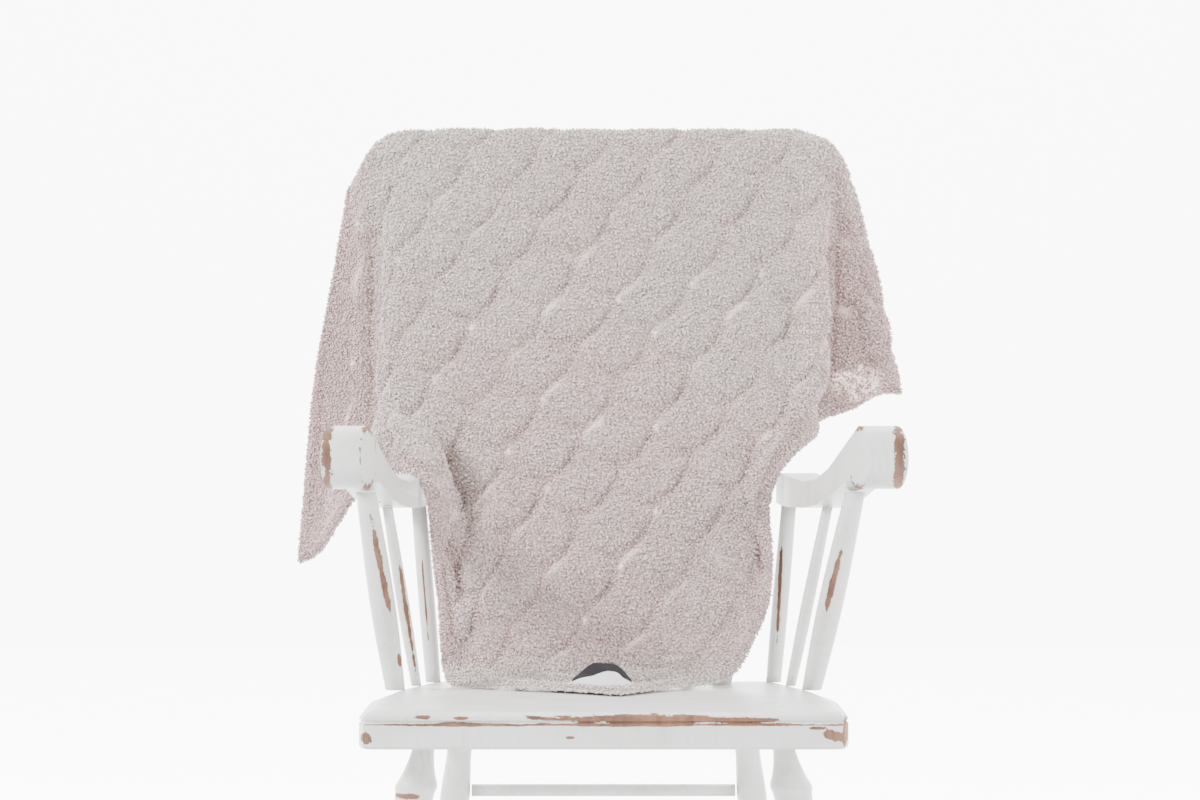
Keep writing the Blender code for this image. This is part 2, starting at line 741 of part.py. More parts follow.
clear_scene()
for row in COLOURS:
    make_material(*row)
make_seat()
make_legs()
make_stretchers()
make_arms()
make_arm_posts()
make_crest()
make_back()
make_label(make_blanket())
centre_on_floor()
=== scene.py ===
"""Cable knit blanket over a painted wooden armchair: cloth detail, finishes and studio.

Metres, +Z up. The frame's solids keep their places. Each is dressed by a finer piece of the same shape.
"""

import math

import bmesh
import bpy
import numpy as np
from bpy.props import FloatProperty, FloatVectorProperty, IntProperty, PointerProperty
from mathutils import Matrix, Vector


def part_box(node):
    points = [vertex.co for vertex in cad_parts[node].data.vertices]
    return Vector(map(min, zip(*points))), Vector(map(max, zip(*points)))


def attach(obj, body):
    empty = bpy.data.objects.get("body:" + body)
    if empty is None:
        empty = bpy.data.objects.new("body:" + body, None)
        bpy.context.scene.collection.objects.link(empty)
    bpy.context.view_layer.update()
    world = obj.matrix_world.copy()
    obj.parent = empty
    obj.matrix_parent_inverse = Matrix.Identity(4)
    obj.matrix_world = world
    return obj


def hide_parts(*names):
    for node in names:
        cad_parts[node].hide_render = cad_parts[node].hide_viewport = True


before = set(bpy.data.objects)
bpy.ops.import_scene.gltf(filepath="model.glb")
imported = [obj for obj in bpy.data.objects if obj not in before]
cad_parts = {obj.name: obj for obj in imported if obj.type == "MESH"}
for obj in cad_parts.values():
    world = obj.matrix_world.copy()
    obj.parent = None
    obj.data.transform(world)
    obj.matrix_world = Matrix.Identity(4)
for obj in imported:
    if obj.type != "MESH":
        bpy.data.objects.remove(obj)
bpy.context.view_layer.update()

bl_info = {
    "name": "Draped cable knit blanket",
    "version": (1, 0, 0),
    "blender": (4, 5, 0),
    "location": "3D View > Sidebar > Blanket",
    "description": "Builds a cable knit blanket that hangs over the back of a painted wooden armchair",
    "category": "Object",
}

# Chair numbers that the drape hangs on, in the chair's own plan
MIDDLE = 0.004
SEAT_TOP = 0.440
SEAT_FRONT = -0.250
LEAN = math.radians(19.0)
CREST_Y = 0.360

# The plan moves by this much to stand in the frame
_seat_low, _seat_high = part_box("seat")
SHIFT = np.array([(_seat_low.x + _seat_high.x) / 2 - MIDDLE, _seat_low.y - SEAT_FRONT, 0.0])

# Blanket, flat: a runs along the crest rail and b down the front, from the crest's middle
FRONT_CORNER = (0.020, 0.860)
LONG_SIDE = 1.040
LONG_TURN = math.radians(56.0)
SHORT_SIDE = 0.790
SHORT_TURN = math.radians(39.3)
CLOTH_THICK = 0.0040
EDGE_THICK = 0.0030
GRID_STEPS = 216
FAIRING_PASSES = round(7 * (GRID_STEPS / 52) ** 2)

# Cables: rounded lobes in columns that run along the long side
COLUMN_PITCH = 0.0630
COLUMN_COUNT = 11
LOBE_PITCH = 0.0772
LOBE_DRIFT = 0.097
LOBE_LEAN = 0.15
LOBE_PHASE = 0.212
LOBE_THROUGH = 0.66
PLAIN_BORDER = 0.0345
BORDER_FADE = 0.010
# Seams between the columns: how far they sway, and how much they close and where along a lobe
SEAM_SWAY = 0.0036
SEAM_BRIDGE = 0.24
SEAM_CLOSED = 0.93
# Thick hem: its height as a share of a cable's, and its middle and half width from the edge
HEM_RISE = 0.36
HEM_MIDDLE = 0.009
HEM_HALF = 0.007

# Drape over the crest rail, seen from the side
ROLL = 0.0260
ROLL_TOP = 1.1030
BACK_HANG = math.radians(6.0)
SEAT_BEND = 0.034
LAP_LIFT = 0.0042
REST_GAP = 0.0005
# Drape beside each end of the crest rail: the cloth there opens like a fan about the end's top.
# Fan angle 0 lies straight down the front, 90 along the rail and 180 down the back.
FAN_START = 0.252
RIM_ROLL = 0.045
FAN_ROLL = (
    # fan angle, out, back, up: how far the hang line starts from the end's top, in metres
    (0, 0.000, -0.0141, 0.0129),
    (10, 0.014, -0.0120, 0.0140),
    (45, 0.017, -0.0060, 0.0180),
    (90, 0.028, 0.0000, 0.0235),
    (135, 0.015, 0.0110, 0.0190),
    (180, 0.000, 0.0219, 0.0146),
)
FAN_RIGHT = (
    # fan angle, tilt out, tilt back, stretch
    (0, 0.0, -19.0, 1.00),
    (10, 0.3, -17.0, 1.00),
    (22, -3.1, -8.0, 1.13),
    (35, -4.6, -1.0, 1.30),
    (62, 5.4, -3.0, 1.28),
    (90, 13.6, -6.0, 1.04),
    (120, 12.0, 7.0, 1.00),
    (150, 4.0, 11.0, 1.00),
    (180, 0.0, 6.0, 1.00),
)
FAN_LEFT = (
    # fan angle, tilt out, tilt back, stretch
    (0, 0.0, -19.0, 1.00),
    (10, -1.8, -17.0, 1.00),
    (22, -6.4, -4.0, 1.06),
    (33, 3.6, -2.0, 1.10),
    (44, 12.2, 0.5, 1.105),
    (51, 15.0, 2.0, 1.10),
    (90, 17.0, 6.0, 1.05),
    (135, 7.5, 9.0, 1.00),
    (180, 0.0, 6.0, 1.00),
)

# Narrowing: below the crest the cloth draws in towards the middle
NARROWING = (
    # z, left in, right in
    (0.440, 0.000, 0.000),
    (0.700, 0.006, 0.006),
    (0.980, 0.000, 0.000),
    (1.080, 0.000, 0.000),
)

# Known points: where a point of the flat cloth lies on the chair, and how far its pull reaches
PINNED = (
    # a, b, x, y, z, reach
    (0.020, 0.860, 0.022, -0.046, 0.4442, 0.080),
    (-0.110, 0.754, -0.108, 0.045, 0.4446, 0.070),
    (-0.200, 0.680, -0.178, 0.105, 0.4490, 0.060),
    (-0.250, 0.639, -0.186, 0.130, 0.5000, 0.055),
    (-0.300, 0.598, -0.193, 0.140, 0.5750, 0.055),
    (-0.345, 0.561, -0.198, 0.140, 0.6450, 0.050),
    (-0.375, 0.537, -0.210, 0.146, 0.6860, 0.045),
    (-0.410, 0.508, -0.246, 0.178, 0.6860, 0.050),
    (-0.450, 0.475, -0.275, 0.222, 0.6700, 0.055),
    (-0.510, 0.426, -0.316, 0.285, 0.6190, 0.065),
    (-0.591, 0.360, -0.366, 0.360, 0.5740, 0.080),
    (-0.210, 0.590, -0.165, 0.152, 0.5350, 0.060),
    (-0.235, 0.520, -0.172, 0.170, 0.6150, 0.060),
    (-0.270, 0.465, -0.193, 0.170, 0.7000, 0.055),
    (-0.310, 0.525, -0.189, 0.160, 0.6650, 0.045),
    (-0.325, 0.480, -0.204, 0.164, 0.7220, 0.045),
    (-0.360, 0.430, -0.255, 0.205, 0.7300, 0.060),
    (-0.420, 0.400, -0.292, 0.268, 0.7000, 0.065),
    (-0.280, 0.330, -0.254, 0.232, 0.7900, 0.070),
    (0.303, 0.378, 0.238, 0.213, 0.7480, 0.050),
    (0.275, 0.412, 0.211, 0.198, 0.7220, 0.045),
    (0.253, 0.440, 0.190, 0.185, 0.6900, 0.045),
    (0.233, 0.476, 0.180, 0.175, 0.6500, 0.045),
    (0.330, 0.400, 0.254, 0.215, 0.7280, 0.055),
    (0.305, 0.437, 0.221, 0.200, 0.7060, 0.045),
    (0.285, 0.466, 0.1970, 0.188, 0.6700, 0.045),
    (0.262, 0.500, 0.1940, 0.176, 0.6270, 0.050),
    (0.222, 0.560, 0.2000, 0.160, 0.5710, 0.055),
    (0.190, 0.607, 0.1945, 0.146, 0.5280, 0.055),
    (0.150, 0.667, 0.1670, 0.115, 0.4725, 0.050),
    (0.130, 0.697, 0.1530, 0.090, 0.4510, 0.045),
    (0.110, 0.726, 0.1260, 0.068, 0.4450, 0.050),
)

# Folds: soft ridges and troughs between two points of the flat cloth
FOLDS = (
    # a1, b1, a2, b2, half width, height
    (-0.165, 0.470, -0.215, 0.445, 0.022, -0.012),
    (-0.235, 0.445, -0.300, 0.455, 0.024, 0.010),
    (-0.170, 0.560, -0.120, 0.500, 0.020, 0.007),
    (-0.200, 0.590, -0.190, 0.520, 0.016, -0.006),
    (-0.150, 0.660, -0.090, 0.600, 0.018, 0.006),
    (0.205, 0.560, 0.180, 0.440, 0.018, -0.008),
    (0.160, 0.640, 0.130, 0.450, 0.018, 0.005),
    (0.235, 0.420, 0.225, 0.250, 0.016, -0.006),
    (-0.335, 0.507, -0.300, 0.560, 0.016, 0.0080),
    (-0.300, 0.560, -0.250, 0.575, 0.014, 0.0075),
    (-0.183, 0.458, -0.191, 0.495, 0.012, -0.0060),
    (-0.191, 0.495, -0.215, 0.519, 0.010, -0.0060),
    (-0.321, 0.154, -0.369, 0.226, 0.012, 0.0035),
    (-0.369, 0.226, -0.406, 0.313, 0.012, 0.0035),
    (-0.338, 0.140, -0.383, 0.214, 0.008, -0.0070),
    (-0.383, 0.214, -0.418, 0.285, 0.008, -0.0070),
    (-0.315, 0.041, -0.338, 0.102, 0.012, 0.0040),
    (-0.338, 0.102, -0.372, 0.158, 0.012, 0.0040),
    (0.352, 0.048, 0.406, 0.098, 0.008, -0.0075),
    (0.406, 0.098, 0.455, 0.157, 0.008, -0.0075),
    (0.219, 0.311, 0.244, 0.294, 0.007, -0.0035),
    (-0.158, 0.473, -0.213, 0.502, 0.008, -0.0100),
    (-0.187, 0.437, -0.174, 0.497, 0.018, -0.0120),
    (-0.265, 0.559, -0.205, 0.569, 0.018, -0.0090),
    (-0.168, 0.644, -0.094, 0.618, 0.008, -0.0060),
    (-0.210, 0.653, -0.170, 0.680, 0.008, -0.0045),
)

# Places where the cables are pulled or pressed flat
PRESSED = (
    # a1, b1, a2, b2, half width, share taken off the cables
    (-0.260, 0.000, 0.260, 0.000, 0.024, 0.50),
    (0.240, 0.136, 0.256, 0.290, 0.022, 0.60),
    (-0.360, 0.100, -0.500, 0.300, 0.060, 0.35),
    (0.400, 0.060, 0.500, 0.160, 0.060, 0.30),
)

# Painted light on the right flap where light comes through one layer of cloth, as bright glowing dots: x, z,
# half width, half height
SEE_THROUGH_SPOT = (0.3120, 0.7900, 0.032, 0.022)

# Satin tab, sewn down along its front edge: its seat is its height over the cloth, its rise the arch's
LABEL_WIDTH = 0.076
LABEL_DEPTH = 0.026
LABEL_THICK = 0.0008
LABEL_SEAT = 0.0010
LABEL_RISE = 0.0195
LABEL_X = 0.002
LABEL_Y = 0.008


def side_profile(b):
    """Depth and height of the hanging cloth at distance b from the crest line, front positive."""
    centre_y, centre_z = CREST_Y, ROLL_TOP - ROLL
    front_turn = math.pi / 2 - LEAN
    back_turn = math.pi / 2 - BACK_HANG
    lap_z = SEAT_TOP + LAP_LIFT
    start_z = centre_z + ROLL * math.cos(front_turn)
    bend_z = lap_z + SEAT_BEND * (1 - math.cos(front_turn))
    straight = (start_z - bend_z) / math.cos(LEAN)
    arc = ROLL * front_turn
    bend = SEAT_BEND * front_turn

    on_front = np.clip(b, 0, arc)
    on_straight = np.clip(b - arc, 0, straight)
    on_bend = np.clip(b - arc - straight, 0, bend)
    on_lap = np.clip(b - arc - straight - bend, 0, None)
    on_back = np.clip(-b, 0, ROLL * back_turn)
    on_hang = np.clip(-b - ROLL * back_turn, 0, None)

    turn = on_front / ROLL
    left = front_turn - on_bend / SEAT_BEND
    y = centre_y - ROLL * np.sin(turn) - on_straight * math.sin(LEAN)
    y = y - SEAT_BEND * (math.sin(front_turn) - np.sin(left)) - on_lap
    z = centre_z + ROLL * np.cos(turn) - on_straight * math.cos(LEAN)
    z = z - SEAT_BEND * (np.cos(left) - math.cos(front_turn))
    turn = on_back / ROLL
    y = y + ROLL * np.sin(turn) + on_hang * math.sin(BACK_HANG)
    z = z - ROLL * (1 - np.cos(turn)) - on_hang * math.cos(BACK_HANG)
    return y, z


def fan(out, b, rows):
    """Place of cloth past the rail's end: out is the distance past the fan's top, along the rail."""
    reach = np.hypot(out, b)
    angle = np.degrees(np.arctan2(out, b))
    table = np.array(rows, float)
    tilt_out, tilt_back, stretch = (np.interp(angle, table[:, 0], table[:, i]) for i in (1, 2, 3))
    roll = np.array(FAN_ROLL, float)
    start = [np.interp(angle, roll[:, 0], roll[:, i]) for i in (1, 2, 3)]
    side, back = np.tan(np.radians(tilt_out)), np.tan(np.radians(tilt_back))
    length = reach * stretch / np.sqrt(1 + side**2 + back**2)
    round_off = 1.3 * (ROLL + (RIM_ROLL - ROLL) * np.sin(np.radians(angle)))
    ramp = np.clip(reach / round_off, 0, 1)
    ramp = ramp * (2 - ramp)
    return (
        start[0] * ramp + side * length,
        CREST_Y + start[1] * ramp + back * length,
        ROLL_TOP + start[2] * ramp - length,
    )


def hang(a, b):
    """The plain hang over the rail, before it is pinned and folded."""
    y, z = side_profile(b)
    x = np.array(a, float)
    for sign, rows in ((1, FAN_RIGHT), (-1, FAN_LEFT)):
        past = sign * (a - MIDDLE) - FAN_START
        beyond = past > 0
        fan_x, fan_y, fan_z = fan(np.maximum(past, 0), b, rows)
        low = SEAT_TOP + LAP_LIFT
        x = np.where(beyond, MIDDLE + sign * (FAN_START + fan_x), x)
        y = np.where(beyond & (fan_z > low), fan_y, y)
        z = np.where(beyond, np.maximum(fan_z, low), z)
    table = np.array(NARROWING, float)
    inward = np.where(
        a < MIDDLE, np.interp(z, table[:, 0], table[:, 1]), np.interp(z, table[:, 0], table[:, 2])
    )
    away = np.clip(np.abs(x - MIDDLE) / FAN_START, 0, 1) ** 3
    return np.stack([x - np.sign(x - MIDDLE) * inward * away, y, z], axis=-1)


def pin_weights():
    """Pulls that bring each known point to its place."""
    rows = np.array(PINNED, float)
    at, goal, reach = rows[:, :2], rows[:, 2:5], rows[:, 5]
    apart = np.linalg.norm(at[:, None] - at[None], axis=-1)
    share = np.exp(-((apart / reach[None]) ** 2))
    miss = goal - hang(at[:, 0], at[:, 1])
    return at, reach, np.linalg.solve(share, miss)


def pinned(a, b):
    points = hang(a, b)
    for (pin_a, pin_b), reach, pull in zip(*pin_weights()):
        apart = np.hypot(a - pin_a, b - pin_b)
        points = points + np.exp(-((apart / reach) ** 2))[..., None] * pull
    return points


def fair(points, passes):
    """Smooth a grid of points, its corners held, so that bends come out round."""
    for _ in range(passes):
        padded = np.pad(points, ((1, 1), (1, 1), (0, 0)), mode="edge")
        rows = (padded[:-2, 1:-1] + padded[2:, 1:-1]) / 2
        columns = (padded[1:-1, :-2] + padded[1:-1, 2:]) / 2
        rows[0], rows[-1] = points[0], points[-1]
        columns[:, 0], columns[:, -1] = points[:, 0], points[:, -1]
        points = points + 0.5 * ((rows + columns) / 2 - points)
    return points


def sheet_normals(points):
    along = np.gradient(points, axis=0)
    across = np.gradient(points, axis=1)
    normal = np.cross(along, across)
    return normal / np.linalg.norm(normal, axis=-1, keepdims=True)


def fold_heights(a, b, rows):
    """Sum of soft strips, each a line of the flat cloth with a half width and a height."""
    height = np.zeros_like(a)
    for a1, b1, a2, b2, half_width, rise in rows:
        run_a, run_b = a2 - a1, b2 - b1
        share = np.clip(((a - a1) * run_a + (b - b1) * run_b) / (run_a**2 + run_b**2), 0, 1)
        apart = np.hypot(a - a1 - share * run_a, b - b1 - share * run_b)
        height = height + rise * np.exp(-((apart / half_width) ** 2))
    return height


def cable_relief(along, across):
    """Cables on the flat blanket: height from 0 on the ground to 1, painted glow and painted crease shadow.

    The glow is painted light in a thin slit along a lobe's left rim, where light comes through. The crease
    shadow is painted shade in the deep crease at its right and in a hook near its top. A spark is a painted
    bright point where two lobes cross.
    """
    drift = along / LOBE_PITCH - LOBE_DRIFT * across / COLUMN_PITCH
    wave = 0.0022 * np.sin(along * 19.0 + across * 31.0) + SEAM_SWAY * np.sin(2 * math.pi * drift)
    place = (across + wave - PLAIN_BORDER) / COLUMN_PITCH
    column = np.floor(place)
    side = place - column - 0.5

    dice = np.random.default_rng(11)
    last = 39
    row = np.clip(column, 0, last).astype(int)
    shuffle = dice.uniform(-0.06, 0.06, last + 1)[row]
    step = along / LOBE_PITCH - LOBE_DRIFT * column + LOBE_LEAN * side + LOBE_PHASE + shuffle
    step = step + 0.13 * np.cos(math.pi * side) - 0.06
    count = np.floor(step)
    step = step - count
    index = (row, np.clip(count + 3, 0, last).astype(int))
    chance = dice.uniform(0, 1, (4, last + 1, last + 1))

    leaned = side + 0.06 * (1 - 4 * side**2)
    across_lobe = np.abs(2 * leaned) ** 2.6
    along_lobe = np.abs(2 * (step - 0.46) / 1.08) ** 4.5
    whole = np.clip(1 - across_lobe - along_lobe, 0, 1) ** 0.5
    through = LOBE_THROUGH * np.clip(1 - across_lobe, 0, 1) ** 0.5
    lobe = np.maximum(whole, through) * (1 - 0.26 * step**2.0) * (0.78 + 0.30 * chance[2][index])

    seam = np.floor(place + 0.5)
    turn = along / LOBE_PITCH - LOBE_DRIFT * (seam - 0.5) + LOBE_PHASE - SEAM_CLOSED
    closed = np.clip(0.35 + 0.65 * np.cos(2 * math.pi * turn), 0, 1)
    closed = SEAM_BRIDGE * closed * np.cos(math.pi * (place - seam)) ** 2
    lobe = lobe + (1 - lobe) * closed

    inside = (column >= 0) & (column < COLUMN_COUNT)
    ends = np.clip((np.minimum(along, LONG_SIDE - along) - PLAIN_BORDER) / BORDER_FADE, 0, 1)
    within = inside * ends
    # Painted glow: bright slits and sparks where light comes through the knit
    gap_glow = np.exp(-(((side - 0.415) / 0.045) ** 2)) * np.exp(-(((step - 0.32) / 0.22) ** 2))
    gap_glow = 0.85 * gap_glow * np.clip(chance[0][index] * 1.8 - 0.4, 0, 1)
    spark = np.exp(-(((side - 0.41) / 0.042) ** 2 + ((step - 0.07) / 0.040) ** 2))
    gap_glow = np.maximum(gap_glow, 1.5 * spark * (chance[3][index] > 0.55))
    # Painted crease shadow: darkness in the deep crease at a lobe's right and in a hook near its top
    crease_shadow = np.exp(-(((side + 0.47) / 0.040) ** 2))
    crease_shadow = crease_shadow * np.clip(1.30 - np.abs(step - 0.42) * 3.6, 0, 1)
    hook = np.exp(-(((step - 0.955) / 0.040) ** 2)) * np.exp(-(((side + 0.32) / 0.14) ** 2))
    crease_shadow = (crease_shadow + 0.8 * hook) * (0.25 + 0.75 * chance[1][index])
    return lobe * within, gap_glow * within, crease_shadow * within


def flat_grid():
    """Distances along and across the flat blanket, and its a and b."""
    share = np.linspace(0, 1, GRID_STEPS + 1)
    along, across = np.meshgrid(share * LONG_SIDE, share * SHORT_SIDE, indexing="ij")
    a = FRONT_CORNER[0] + along * math.cos(LONG_TURN) - across * math.cos(SHORT_TURN)
    b = FRONT_CORNER[1] - along * math.sin(LONG_TURN) - across * math.sin(SHORT_TURN)
    return along, across, a, b


# Values that the relief gives each point, for the material to read: cable height, painted glow and painted
# crease shadow
MARKS = ("lobe", "gap_glow", "crease_shadow")
_cloth = {}


def draped_cloth(lobe_rise):
    """Outer and inner face of the hung blanket, its normals and its relief, kept for each cable height."""
    if lobe_rise not in _cloth:
        along, across, a, b = flat_grid()
        middle = fair(pinned(a, b), FAIRING_PASSES)
        middle = middle + fold_heights(a, b, FOLDS)[..., None] * sheet_normals(middle)
        normal = sheet_normals(middle)
        thick = np.full_like(a, CLOTH_THICK)
        thick[0], thick[-1], thick[:, 0], thick[:, -1] = (EDGE_THICK,) * 4
        lobe, gap_glow, crease_shadow = cable_relief(along, across)
        lobe = lobe * (1 - np.clip(fold_heights(a, b, PRESSED), 0, 0.8))
        rim = np.minimum(np.minimum(along, LONG_SIDE - along), np.minimum(across, SHORT_SIDE - across))
        lobe = np.maximum(lobe, HEM_RISE * np.exp(-(((rim - HEM_MIDDLE) / HEM_HALF) ** 2)))
        face = middle + (thick / 2 + lobe_rise * lobe)[..., None] * normal
        under = middle - (thick / 2)[..., None] * normal
        under[..., 2] = np.maximum(under[..., 2], SEAT_TOP + REST_GAP)
        face[..., 2] = np.maximum(face[..., 2], SEAT_TOP + REST_GAP + EDGE_THICK)
        _cloth[lobe_rise] = {
            "face": face + SHIFT,
            "under": under + SHIFT,
            "normal": sheet_normals(face),
            "lobe": lobe,
            "gap_glow": gap_glow,
            "crease_shadow": crease_shadow,
        }
    return _cloth[lobe_rise]


def mesh_piece(name, points, faces):
    """A new piece from arrays of points and faces of one size. It rides on the frame's one body."""
    mesh = bpy.data.meshes.new(name)
    mesh.vertices.add(len(points))
    mesh.vertices.foreach_set("co", np.ascontiguousarray(points, np.float32).ravel())
    mesh.loops.add(faces.size)
    mesh.loops.foreach_set("vertex_index", np.ascontiguousarray(faces, np.int32).ravel())
    mesh.polygons.add(len(faces))
    mesh.polygons.foreach_set("loop_start", np.arange(0, faces.size, faces.shape[1], dtype=np.int32))
    mesh.update(calc_edges=True)
    mesh.validate()
    mesh.shade_smooth()
    piece = bpy.data.objects.new(name, mesh)
    bpy.context.scene.collection.objects.link(piece)
    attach(piece, "root")
    return piece


def paint_values(piece, name, values):
    """Keep one number for each point of a piece, for its material to read."""
    layer = piece.data.attributes.new(name, "FLOAT", "POINT")
    layer.data.foreach_set("value", np.ascontiguousarray(values, np.float32).ravel())


def sheet_faces(rows, columns):
    """Quads of two grids of points, face and under, joined round their rims."""
    count = rows * columns
    one = (np.arange(rows - 1)[:, None] * columns + np.arange(columns - 1)[None]).ravel()
    face = np.stack([one, one + columns, one + columns + 1, one + 1], axis=1)
    rim = np.concatenate(
        [
            np.arange(columns - 1),
            np.arange(rows - 1) * columns + columns - 1,
            (rows - 1) * columns + np.arange(columns - 1, 0, -1),
            np.arange(rows - 1, 0, -1) * columns,
        ]
    )
    after = np.roll(rim, -1)
    wall = np.stack([rim, after, after + count, rim + count], axis=1)
    return np.concatenate([face, face[:, ::-1] + count, wall])


def face_outwards(piece):
    """Turn every face of a closed piece outwards."""
    shape = bmesh.new()
    shape.from_mesh(piece.data)
    if shape.calc_volume(signed=True) < 0:
        bmesh.ops.reverse_faces(shape, faces=shape.faces)
    shape.to_mesh(piece.data)
    shape.free()


def tuft_spots(pitch, dice):
    """Jittered places over the blanket as fractions of its grid."""
    rows, columns = round(LONG_SIDE / pitch), round(SHORT_SIDE / pitch)
    row, column = np.meshgrid(np.arange(rows) + 0.5, np.arange(columns) + 0.5, indexing="ij")
    row = row + 0.5 * (column.astype(int) % 2) - 0.25 + dice.uniform(-0.34, 0.34, row.shape)
    column = column + dice.uniform(-0.34, 0.34, row.shape)
    return (np.clip(place / total, 0, 1).ravel() for place, total in ((row, rows), (column, columns)))


def blend_grid(grid, row, column):
    """Read a grid between its points, at fractions of its length and width."""
    row, column = row * (grid.shape[0] - 1), column * (grid.shape[1] - 1)
    i = np.minimum(row.astype(int), grid.shape[0] - 2)
    j = np.minimum(column.astype(int), grid.shape[1] - 2)
    u, v = row - i, column - j
    if grid.ndim == 3:
        u, v = u[:, None], v[:, None]
    near = grid[i, j] * (1 - v) + grid[i, j + 1] * v
    far = grid[i + 1, j] * (1 - v) + grid[i + 1, j + 1] * v
    return near * (1 - u) + far * u


TUFT_FACES = np.array(
    [(0, 2, 1), (0, 3, 2), (0, 4, 3), (0, 1, 4), (5, 1, 2), (5, 2, 3), (5, 3, 4), (5, 4, 1)]
)


# How pale each of a curl's six points is: its root lies in the dark and its tip in the light
TUFT_SHADES = np.array([0.0, 0.70, 0.70, 0.70, 0.70, 1.0])


def tuft_points(root, heading, length, width, dice):
    """Six points of each curl of pile: its root, four round its belly and its tip."""
    heading = heading / np.linalg.norm(heading, axis=1, keepdims=True)
    loose = dice.normal(size=heading.shape)
    side = np.cross(heading, loose)
    side = side / np.linalg.norm(side, axis=1, keepdims=True)
    other = np.cross(heading, side)
    length, width = length[:, None], width[:, None]
    belly = root + heading * length * 0.45
    points = [root - heading * length * 0.25]
    points += [belly + side * width, belly + other * width, belly - side * width, belly - other * width]
    points.append(root + heading * length + side * width * 0.5)
    return np.stack(points, axis=1)


def edge_tufts(cloth, pitch, dice):
    """Roots and headings of the ragged pile round the blanket's four edges."""
    roots, headings = [], []
    middle = (cloth["face"] + cloth["under"]) / 2
    edges = (
        (middle[0], middle[2]),
        (middle[-1], middle[-3]),
        (middle[:, 0], middle[:, 2]),
        (middle[:, -1], middle[:, -3]),
    )
    for edge, inner in edges:
        steps = np.linalg.norm(np.diff(edge, axis=0), axis=1).sum() / pitch
        place = (np.arange(int(steps)) + dice.uniform(0, 1, int(steps))) / int(steps) * (len(edge) - 1)
        i = np.minimum(place.astype(int), len(edge) - 2)
        share = (place - i)[:, None]
        roots.append(edge[i] * (1 - share) + edge[i + 1] * share)
        out = edge[i] - inner[i]
        headings.append(out / np.linalg.norm(out, axis=1, keepdims=True))
    return np.concatenate(roots), np.concatenate(headings)


class Wire:
    """A shader value that maths can be written on, as in 1 - mask."""

    def __init__(self, finish, socket):
        self.finish, self.socket = finish, socket

    def maths(self, operation, *values):
        return self.finish.node("ShaderNodeMath", {"operation": operation}, dict(enumerate(values)))

    def __add__(self, other):
        return self.maths("ADD", self, other)

    def __radd__(self, other):
        return self.maths("ADD", other, self)

    def __sub__(self, other):
        return self.maths("SUBTRACT", self, other)

    def __rsub__(self, other):
        return self.maths("SUBTRACT", other, self)

    def __mul__(self, other):
        return self.maths("MULTIPLY", self, other)

    def __rmul__(self, other):
        return self.maths("MULTIPLY", other, self)

    def __truediv__(self, other):
        return self.maths("DIVIDE", self, other)

    def __pow__(self, other):
        return self.maths("POWER", self, other)

    def size(self):
        return self.maths("ABSOLUTE", self)

    def least(self, other):
        return self.maths("MINIMUM", self, other)

    def most(self, other):
        return self.maths("MAXIMUM", self, other)

    def ramp(self, low, high):
        """0 below low, 1 above high, smooth between. It falls instead where low is above high."""
        start, end = (0.0, 1.0) if low < high else (1.0, 0.0)
        values = {"Value": self, "From Min": min(low, high), "From Max": max(low, high)}
        values.update({"To Min": start, "To Max": end})
        return self.finish.node("ShaderNodeMapRange", {"interpolation_type": "SMOOTHSTEP"}, values)


class Finish:
    """One material. Its constant values are set on the shader, and wires are joined to it."""

    def __init__(self, name, colour, **constants):
        self.material = bpy.data.materials.new(name)
        self.material.use_nodes = True
        self.material.diffuse_color = (*colour, 1.0)
        self.tree = self.material.node_tree
        self.shader = self.tree.nodes["Principled BSDF"]
        self.shader.inputs["Base Color"].default_value = (*colour, 1.0)
        for key, value in constants.items():
            self.shader.inputs[key.replace("_", " ")].default_value = value

    def node(self, kind, settings=None, values=None, out=0):
        """Add a node with its settings, then its values or links, and give one of its outputs."""
        made = self.tree.nodes.new(kind)
        for key, value in (settings or {}).items():
            setattr(made, key, value)
        for key, value in (values or {}).items():
            if isinstance(value, Wire):
                self.tree.links.new(value.socket, made.inputs[key])
            else:
                made.inputs[key].default_value = value
        return Wire(self, made.outputs[out])

    def place(self):
        return self.node("ShaderNodeTexCoord", out="Object")

    def axes(self):
        """Object x, y and z as three wires."""
        split = self.node("ShaderNodeSeparateXYZ", values={"Vector": self.place()})
        return [Wire(self, split.socket.node.outputs[i]) for i in range(3)]

    def value(self, name):
        return self.node("ShaderNodeAttribute", {"attribute_name": name}, out="Fac")

    def noise(self, scale, detail=2.0, roughness=0.5, stretch=(1, 1, 1)):
        place = self.node("ShaderNodeMapping", values={"Vector": self.place(), "Scale": stretch})
        values = {"Vector": place, "Scale": scale, "Detail": detail, "Roughness": roughness}
        return self.node("ShaderNodeTexNoise", values=values)

    def mix(self, share, one, other, blend="MIX"):
        """Colour between one and other. A colour is a wire or three numbers."""
        one, other = (c if isinstance(c, Wire) else (*c, 1.0) for c in (one, other))
        settings = {"data_type": "RGBA", "blend_type": blend}
        return self.node("ShaderNodeMix", settings, {0: share, 6: one, 7: other}, out=2)

    def feed(self, name, wire):
        self.tree.links.new(wire.socket, self.shader.inputs[name])

    def bump(self, height, distance, strength=1.0):
        values = {"Height": height, "Distance": distance, "Strength": strength}
        self.feed("Normal", self.node("ShaderNodeBump", values=values))


